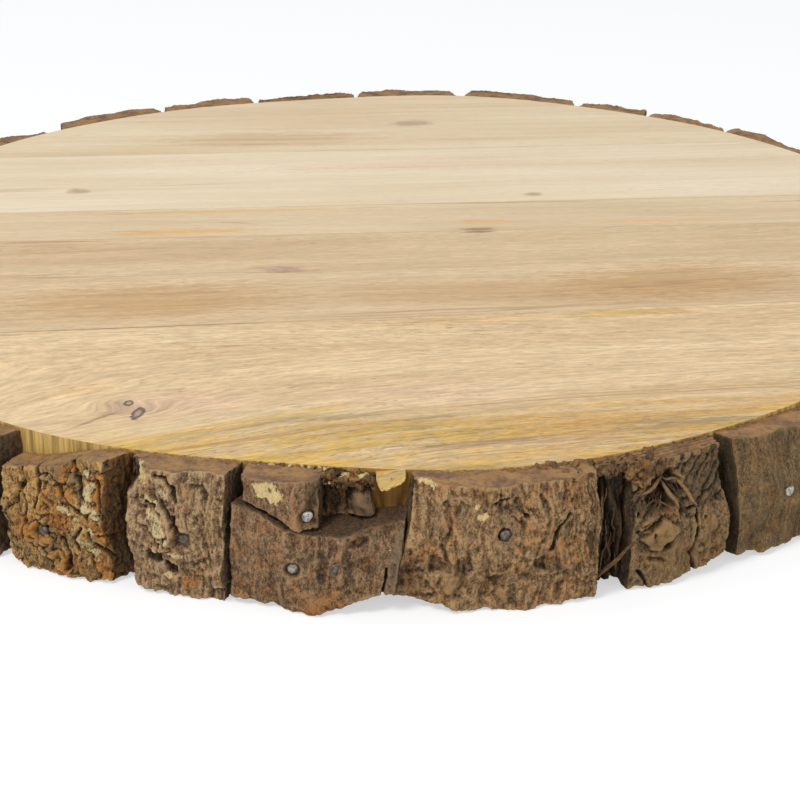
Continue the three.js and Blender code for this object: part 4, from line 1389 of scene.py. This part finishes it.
def front_stains(nodes, place, grain, level, stray, colour):
    """Gold and olive streaks along the front edge, which turn brown towards the right."""
    x, _, _ = nodes.split(place)
    shifted = nodes.math("ADD", level, nodes.between(x, *BAND_SHIFT))
    front = nodes.between(nodes.fused(stray, BAND_STRAY, shifted), *FRONT_BAND)
    gold = nodes.fused(stray, GOLD_STRAY, streaks(nodes, grain, *GOLD_STREAK))
    share = nodes.times(front, nodes.between(gold, *GOLD_SPAN))
    tint = nodes.mix(nodes.between(x, *BROWN_FROM), GOLD, BROWN_GOLD)
    colour = nodes.mix(nodes.times(share, GOLD_MOST), colour, tint)
    olive = streaks(nodes, nodes.vector("ADD", grain, OLIVE_START), *OLIVE_STREAK)
    share = nodes.times(front, nodes.between(nodes.fused(stray, GOLD_STRAY, olive), *OLIVE_SPAN))
    colour = nodes.mix(nodes.times(share, OLIVE_MOST), colour, OLIVE)
    radius = nodes.add("ShaderNodeVectorMath", {0: place}, operation="LENGTH").outputs["Value"]
    lip = nodes.between(nodes.fused(stray, LIP_STRAY, radius), *LIP_BAND)
    bright = nodes.between(streaks(nodes, grain, *LIP_STREAK), *LIP_SPAN)
    share = nodes.times(nodes.times(lip, front), bright)
    return nodes.mix(nodes.times(share, LIP_MOST), colour, YELLOW), front


def add_stains(nodes, place, streak, stray, plank, colour):
    for mark in STAINS[plank]:
        gap = round_gap(nodes, place, mark["at"], mark["reach"], mark["turn"])
        gap = nodes.fused(stray, STAIN_STRAY, gap)
        if mark["ring"]:
            near = nodes.times(nodes.between(gap, *RING_OUTSIDE), nodes.between(gap, *RING_INSIDE))
        else:
            near = nodes.between(gap, *STAIN_SIDE)
        if mark["streaky"]:
            near = nodes.times(near, nodes.between(streak, *STREAKY_SPAN, 1 - mark["streaky"], 1.0))
        colour = nodes.mix(nodes.times(near, mark["strength"]), colour, mark["colour"])
    return colour


def rim_side(nodes, place):
    """Colour of the sawn side: upright streaks, amber beside the tongue of wood."""
    x, y, z = nodes.split(place)
    along = nodes.times(nodes.math("ARCTAN2", y, x), RIM_MEAN)
    rim = nodes.add("ShaderNodeCombineXYZ", {0: along, 1: z, 2: 0.0}).outputs[0]
    upright = nodes.noise(rim, *RIM_STREAK)
    colour = nodes.mix(nodes.between(upright, *RIM_SPAN), RIM_DARK, RIM_PALE)
    beside = nodes.between(nodes.math("ABSOLUTE", nodes.minus(along, TONGUE_ALONG)), *BESIDE_TONGUE)
    return nodes.mix(nodes.times(beside, AMBER_MOST), colour, AMBER)


def joint_planes(plank):
    """Normal and distance, in millimetres, of the planes of a plank's glue joints."""
    planes = set()
    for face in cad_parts[plank].data.polygons:
        if abs(face.normal.z) < UPRIGHT and face.area > JOINT_AREA:
            normal = tuple(round(share, 4) for share in face.normal)
            planes.add((normal, round(face.normal.dot(face.center) / MM, 1)))
    return sorted(planes)


def glue_lines(nodes, place, plank, colour):
    """Worn dark lines along a plank's glue joints."""
    x, _, _ = nodes.split(place)
    wear = nodes.between(nodes.noise(place, *SEAM_WEAR), *WEAR_SPAN)
    dark = nodes.between(x, *SEAM_DARKENS) if plank == "front_plank" else SEAM_FAINT
    shown = nodes.times(wear, dark)
    for normal, distance in joint_planes(plank):
        inputs = {0: place, 1: normal}
        across = nodes.add("ShaderNodeVectorMath", inputs, operation="DOT_PRODUCT").outputs["Value"]
        gap = nodes.math("ABSOLUTE", nodes.minus(across, distance))
        seam = nodes.times(nodes.between(gap, *SEAM_SIDE), shown)
        colour = nodes.mix(seam, colour, SEAM_LINE)
    return colour


def wood_material(plank):
    *_, pale, dark, depth = PLANK_LOOKS[plank]
    nodes = Nodes(bpy.data.materials.new(f"wood_{plank}"))
    place = nodes.millimetres()
    grain, level = grain_place(nodes, place, plank)
    fibre = streaks(nodes, grain, *FIBRE_STREAK)
    hair = streaks(nodes, grain, *HAIR_STREAK)
    stray = nodes.fused(fibre, FIBRE_SHARE, nodes.fused(hair, HAIR_SHARE, -0.5))
    streak = nodes.fused(stray, TONE_STRAY, streaks(nodes, grain, *TONE_STREAK))
    tone = nodes.fused(streaks(nodes, grain, *BROAD_STREAK), 0.5, nodes.times(streak, 0.5))
    colour = nodes.mix(nodes.between(tone, *WOOD_SPAN), linear(*pale), linear(*dark))
    crowd = nodes.between(streaks(nodes, grain, *CROWD_STREAK), *CROWD_SPAN)
    if plank == "front_plank":
        colour, front = front_stains(nodes, place, grain, level, stray, colour)
        flecked = round_mask(nodes, place, *FLECKED)
        crowd = nodes.math("MAXIMUM", crowd, nodes.math("MAXIMUM", front, flecked))
    colour = add_stains(nodes, place, streak, stray, plank, colour)

    # Fibres, thin grain lines and pores
    for threads in (fibre, hair):
        lit = nodes.ramp(threads, *FIBRE_STOPS)
        colour = nodes.mix(depth, colour, lit, "MULTIPLY")
    if plank == "front_plank":
        flecks = streaks(nodes, grain, *FLECKS)
        lit = nodes.ramp(flecks, *FLECK_STOPS)
        colour = nodes.mix(nodes.times(front, FLECK_MOST), colour, lit, "MULTIPLY")
    lines = streaks(nodes, grain, *LINES)
    line = nodes.between(nodes.math("ABSOLUTE", nodes.minus(lines, 0.5)), *LINE_SPAN)
    line = nodes.times(line, nodes.between(streaks(nodes, grain, *LINES_SHOWN), *LINE_SHOWN_SPAN))
    colour = nodes.mix(nodes.times(line, min(GRAIN_LINE_MOST, depth)), colour, GRAIN_LINE)
    pore = nodes.times(nodes.between(streaks(nodes, grain, *DASHES), *PORE_SPAN), crowd)
    colour = nodes.mix(nodes.times(pore, PORE_MOST * depth), colour, PORE)
    colour = glue_lines(nodes, place, plank, colour)

    # Sawn sides, and the pitted tongue that stands out of the rim
    normal = nodes.add("ShaderNodeNewGeometry", {}).outputs["Normal"]
    upward = nodes.math("ABSOLUTE", nodes.split(normal)[2])
    off_tongue = nodes.between(nodes.mask("tongue"), *OFF_TONGUE)
    side = nodes.times(nodes.between(upward, *SIDE_TILT), off_tongue)
    colour = nodes.mix(side, colour, rim_side(nodes, place))
    tongue = nodes.between(nodes.mask("tongue"), *ON_TONGUE)
    colour = nodes.mix(nodes.times(tongue, TONGUE_MOST), colour, TONGUE_CREAM)
    pit = nodes.times(nodes.between(nodes.noise(place, TONGUE_PIT), *TONGUE_PIT_SPAN), tongue)
    colour = nodes.mix(nodes.times(pit, TONGUE_PIT_MOST), colour, UMBER)

    height = nodes.fused(pore, PORE_HEIGHT, nodes.times(fibre, FIBRE_HEIGHT))
    height = nodes.minus(height, nodes.times(pit, TONGUE_PIT_DEPTH))
    roughness = nodes.between(streak, *WOOD_ROUGH)
    bump = nodes.bump(height, WOOD_BUMP, WOOD_BUMP_SHARE)
    return nodes.finish(colour, roughness, bump, **{"Specular IOR Level": WOOD_GLOSS})


# Planks: the frame's solids with eased edges and a roughened tongue
WELD = 0.01
FLAT_ANGLE = math.radians(0.5)  # faces that meet at less than this become one
RIM_EASE = 0.25
SEAM_EASE = 0.05
SEAM_CLOSE = 0.09  # how far each plank is let out over the open glue joint
EASE_STEPS = 3
FLAT_TOP = 0.9  # faces whose normals point up or down by more than this are shaded flat
LEVEL = 0.95  # and by more than this are the board's own flat faces
RIM_STRAY = 0.5  # how far inside the rim its edges may lie
TONGUE_ROOT = 0.3
TONGUE_SPLITS = 3
TONGUE_TOP = 3.0  # over this height below the board's top the tongue's roughness comes in
LIFT_BY, PUSH_BY = 0.9, 0.35


def plank_mesh(node):
    shape = bmesh.new()
    shape.from_mesh(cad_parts[node].data)
    bmesh.ops.remove_doubles(shape, verts=shape.verts, dist=WELD * MM)
    bmesh.ops.dissolve_limit(
        shape, angle_limit=FLAT_ANGLE, verts=shape.verts, edges=shape.edges, use_dissolve_boundaries=False
    )
    for face in [face for face in shape.faces if is_joint(face)]:
        bmesh.ops.translate(shape, verts=face.verts, vec=face.normal * SEAM_CLOSE * MM)
    for ease_by, at_rim in ((RIM_EASE, True), (SEAM_EASE, False)):
        edges = [edge for edge in shape.edges if is_lip(edge) and on_rim(edge) == at_rim]
        bmesh.ops.bevel(
            shape, geom=edges, offset=ease_by * MM, segments=EASE_STEPS, profile=0.5, affect="EDGES",
            clamp_overlap=True,
        )
    roughen_tongue(shape)
    tongue = shape.loops.layers.float.new("tongue")
    for face in shape.faces:
        face.smooth = abs(face.normal.z) < FLAT_TOP and not is_joint(face)
        for corner in face.loops:
            stands_out = beyond_rim(corner.vert.co) > TONGUE_START
            corner[tongue] = float(face.normal.z < FLAT_TOP and stands_out)
    return finished_mesh(shape, f"{node}_mesh")


def roughen_tongue(shape):
    """Breaks the smooth sides of the tongue of wood that stands out of the rim."""
    faces = [face for face in shape.faces if face.normal.z < FLAT_TOP and outside_rim(face)]
    if not faces:
        return
    bmesh.ops.triangulate(shape, faces=faces)
    for _ in range(TONGUE_SPLITS):
        edges = [edge for edge in shape.edges if all(on_tongue(vertex) for vertex in edge.verts)]
        bmesh.ops.subdivide_edges(shape, edges=edges, cuts=1)
        sides = [face for face in shape.faces if all(on_tongue(vertex) for vertex in face.verts)]
        bmesh.ops.triangulate(shape, faces=sides)
    ragged = [vertex for vertex in shape.verts if on_tongue(vertex)]
    places = np.array([vertex.co[:] for vertex in ragged]) / MM
    drop = ease(BOARD_TOP, BOARD_TOP - TONGUE_TOP, places[:, 2])
    lift = drop * LIFT_BY * layered(places * [1, 1, 0.3], *TONGUE_LIFT)
    push = drop * PUSH_BY * layered(places, *TONGUE_PUSH)
    for vertex, up, out in zip(ragged, lift, push):
        away = Vector((vertex.co.x, vertex.co.y, 0)).normalized()
        vertex.co += (away * out + Vector((0, 0, up))) * MM


def on_tongue(vertex):
    return beyond_rim(vertex.co) > TONGUE_ROOT and vertex.co.z < (BOARD_TOP - RIM_EASE) * MM


def outside_rim(face):
    return all(beyond_rim(vertex.co) > TONGUE_ROOT for vertex in face.verts)


def beyond_rim(place):
    """How far a place stands outside the rim, in millimetres."""
    return math.hypot(place.x, place.y) / MM - rim_radius(math.atan2(place.y, place.x))


def is_lip(edge):
    """Whether an edge lies between a flat face of the board and an upright one."""
    if len(edge.link_faces) != 2:
        return False
    tilts = sorted(abs(face.normal.z) for face in edge.link_faces)
    return tilts[0] < UPRIGHT and tilts[1] > LEVEL


def is_joint(face):
    """Whether a face is one side of a glue joint: upright and large."""
    return abs(face.normal.z) < UPRIGHT and face.calc_area() > JOINT_AREA


def on_rim(edge):
    return beyond_rim((edge.verts[0].co + edge.verts[1].co) / 2) > -RIM_STRAY


# Nails
NAIL_SIDES = 20
# These nails take the darker copy of the steel: partly their own darker, dirtier steel, partly painted shade
# where a head sits in a recess
DARK_NAILS = ["nail_01", "nail_02", "nail_05", "nail_06", "nail_07"]
PIN_NAIL = "nail_07"  # only a pinhole shows of this one
PIN_HEAD = 0.55
WIRE = 0.55  # the wire's radius as a share of the head's
POINT_LENGTH = 3.0
NECK = 1.1  # from the head's face to where the wire ends
# The head's outline: shares of its radius, and how far past the frame's nail
HEAD_OUTLINE = [(0.93, -1.0), (1.0, -0.75), (1.0, -0.4), (0.92, -0.14), (0.6, 0.0), (0.0, 0.06)]
HEAD_SHRINK = 0.93
DENTS = ((2, 0.1), (3, 0.06))  # waves round the head, and their depth as a share of its radius
# Dim and bright colour of the steel, and from where to where in the noise dirt covers it; the dark steel is
# partly painted shade
BRIGHT_STEEL = ((146, 142, 134), (204, 199, 188), (0.53, 0.69))
DARK_STEEL = ((84, 78, 70), (122, 116, 106), (0.41, 0.61))
DIRT_MOST = 0.85
SCUFF_SPAN = (0.35, 0.65)
STEEL_ROUGH = (0.3, 0.7, 0.75, 0.5)
DIRT = linear(74, 58, 44)
SCUFF_GRAIN = (0.5, 4, 0.6)
DIRT_GRAIN = (1.1, 3, 0.6)
STEEL_METAL = 0.35
STEEL_BUMP = 0.1


def nail_axes(node):
    """A nail's directions outward and sideways, its points' reach, its place across and up, its radius."""
    points = vertices_of(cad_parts[node].data)
    middle = points.mean(0)
    out = np.array([middle[0], middle[1], 0.0]) / math.hypot(middle[0], middle[1])
    side = np.array([-out[1], out[0], 0.0])
    across = float((points @ side).mean())
    level = (points[:, 2].min() + points[:, 2].max()) / 2
    return out, side, points @ out, across, level, np.abs(points @ side - across).max()


def steel_material(name, dim, bright, dirty):
    """Worn steel between two colours, partly under dirt."""
    nodes = Nodes(bpy.data.materials.new(name))
    place = nodes.millimetres()
    scuff = nodes.noise(place, *SCUFF_GRAIN)
    colour = nodes.mix(nodes.between(scuff, *SCUFF_SPAN), linear(*dim), linear(*bright))
    dirt = nodes.between(nodes.noise(place, *DIRT_GRAIN), *dirty, 0.0, DIRT_MOST)
    colour = nodes.mix(dirt, colour, DIRT)
    roughness = nodes.between(scuff, *STEEL_ROUGH)
    return nodes.finish(colour, roughness, nodes.bump(scuff, STEEL_BUMP), Metallic=STEEL_METAL)


def nail_mesh(node):
    """A wire nail with a domed, hammered head, along the frame's own nail."""
    out, side, reach, across, level, head = nail_axes(node)
    if node == PIN_NAIL:
        head = PIN_HEAD
    length = reach.max() - reach.min()
    profile = [(0.0, 0.0), (head * WIRE, POINT_LENGTH), (head * WIRE, length - NECK)]
    profile += [(head * share, length + past) for share, past in HEAD_OUTLINE]
    shape = bmesh.new()
    rings = []
    for radius, height in profile:
        count = NAIL_SIDES if radius > 0 else 1
        ring = []
        for step in range(count):
            angle = TURN * step / count
            dent = HEAD_SHRINK
            for waves, depth in DENTS:
                dent += depth * math.sin(waves * angle + (waves - 1) * across)
            place = out * (reach.min() + height) + side * (across + radius * dent * math.cos(angle))
            place = place + np.array([0, 0, level + radius * dent * math.sin(angle)])
            ring.append(shape.verts.new(place * MM))
        rings.append(ring)
    for lower, upper in zip(rings, rings[1:]):
        for step in range(NAIL_SIDES):
            following = (step + 1) % NAIL_SIDES
            corners = [lower[step % len(lower)], lower[following % len(lower)]]
            corners += [upper[following % len(upper)], upper[step % len(upper)]]
            shape.faces.new(list(dict.fromkeys(corners)))
    bmesh.ops.recalc_face_normals(shape, faces=shape.faces)
    mesh = finished_mesh(shape, f"{node}_mesh")
    shade_smooth(mesh)
    return mesh


# Stage
WHITE = (1.0, 1.0, 1.0, 1.0)
FLOOR_LIT = (0.82, 0.82, 0.82, 1.0)  # the floor as the object's light meets it
FLOOR_SEEN = (0.5, 0.5, 0.5, 1.0)  # and as it is seen, under a glow
FLOOR_GLOW = 0.55
FLOOR_REACH = 6.0
SKY = (0.93, 0.96, 1.0, 1.0)
SKY_LIGHT = 0.55
# Name, place, width and power
LAMPS = [
    ("key_light", (-0.9, -1.1, 1.7), 0.7, 26.0),
    ("fill_light", (1.6, -1.4, 1.1), 1.4, 7.0),
]


def seen_rays(nodes):
    """1 for rays that show the background, 0 for those that carry light to the object."""
    path = nodes.add("ShaderNodeLightPath", {}).outputs
    seen = path["Is Camera Ray"]
    for kind in ("Is Glossy Ray", "Is Transmission Ray"):
        seen = nodes.math("MAXIMUM", seen, path[kind])
    return seen


def floor_material():
    """A pale floor that the camera sees as nearly white, with a soft shadow kept."""
    nodes = Nodes(bpy.data.materials.new("stage_floor"))
    lit = nodes.add("ShaderNodeBsdfDiffuse", {"Color": FLOOR_LIT}).outputs[0]
    paper = nodes.add("ShaderNodeBsdfDiffuse", {"Color": FLOOR_SEEN}).outputs[0]
    glow = nodes.add("ShaderNodeEmission", {"Color": WHITE, "Strength": FLOOR_GLOW}).outputs[0]
    bright = nodes.add("ShaderNodeAddShader", {0: paper, 1: glow}).outputs[0]
    surface = nodes.add("ShaderNodeMixShader", {0: seen_rays(nodes), 1: lit, 2: bright}).outputs[0]
    nodes.feed(nodes.tree.nodes["Material Output"].inputs["Surface"], surface)
    return nodes.owner


def build_floor():
    mesh = bpy.data.meshes.new("floor")
    corners = [(x * FLOOR_REACH, y * FLOOR_REACH, 0) for x, y in ((-1, -1), (1, -1), (1, 1), (-1, 1))]
    mesh.from_pydata(corners, [], [(0, 1, 2, 3)])
    mesh.materials.append(floor_material())
    link("floor", mesh)


def build_light():
    """A pale world that is seen as white, and two soft lamps."""
    world = bpy.data.worlds.new("studio")
    bpy.context.scene.world = world
    nodes = Nodes(world)
    sky = nodes.tree.nodes["Background"]
    nodes.feed(sky.inputs["Color"], SKY)
    nodes.feed(sky.inputs["Strength"], SKY_LIGHT)
    white = nodes.add("ShaderNodeBackground", {"Color": WHITE}).outputs[0]
    shown = nodes.add("ShaderNodeMixShader", {0: seen_rays(nodes), 1: sky.outputs[0], 2: white}).outputs[0]
    nodes.feed(nodes.tree.nodes["World Output"].inputs["Surface"], shown)
    for name, place, size, power in LAMPS:
        lamp = bpy.data.lights.new(name, "AREA")
        lamp.shape = "DISK"
        lamp.size = size
        lamp.energy = power
        holder = link(name, lamp)
        holder.location = place
        holder.rotation_euler = (-Vector(place)).to_track_quat("-Z", "Y").to_euler()


# Camera, at the photograph's place
CAMERA_PLACE = (-0.0516, -0.7413, 0.288)
CAMERA_DOWN = 22.79  # degrees below the horizon
CAMERA_TURN = -4.3
CAMERA_LENS = 99.0
CAMERA_SENSOR = 36.0
CAMERA_NEAR = 0.01


def build_camera():
    lens = bpy.data.cameras.new("camera")
    lens.lens = CAMERA_LENS
    lens.sensor_width = CAMERA_SENSOR
    lens.clip_start = CAMERA_NEAR
    camera = link("camera", lens)
    camera.location = CAMERA_PLACE
    camera.rotation_euler = (math.radians(90 - CAMERA_DOWN), 0, math.radians(CAMERA_TURN))
    bpy.context.scene.camera = camera


# Assembly
build_camera()
build_floor()
build_light()
bpy.context.scene.view_settings.view_transform = "Standard"

bark_materials = {finish: bark_material(finish) for finish in STYLES}
blocks = {name: make_bark(name, bark_materials) for name in BARK_NODES}
add_crumbs(blocks, bark_materials["torn"])
add_fibres(blocks, bark_materials["torn"])
for name in PLANK_NODES:
    add_piece(f"{name}_wood", plank_mesh(name), wood_material(name), "wood", name)
bright_steel = steel_material("nail_steel", *BRIGHT_STEEL)
dark_steel = steel_material("nail_steel_dark", *DARK_STEEL)
for name in NAIL_NODES:
    steel = dark_steel if name in DARK_NAILS else bright_steel
    add_piece(f"{name}_steel", nail_mesh(name), steel, "nail", name)
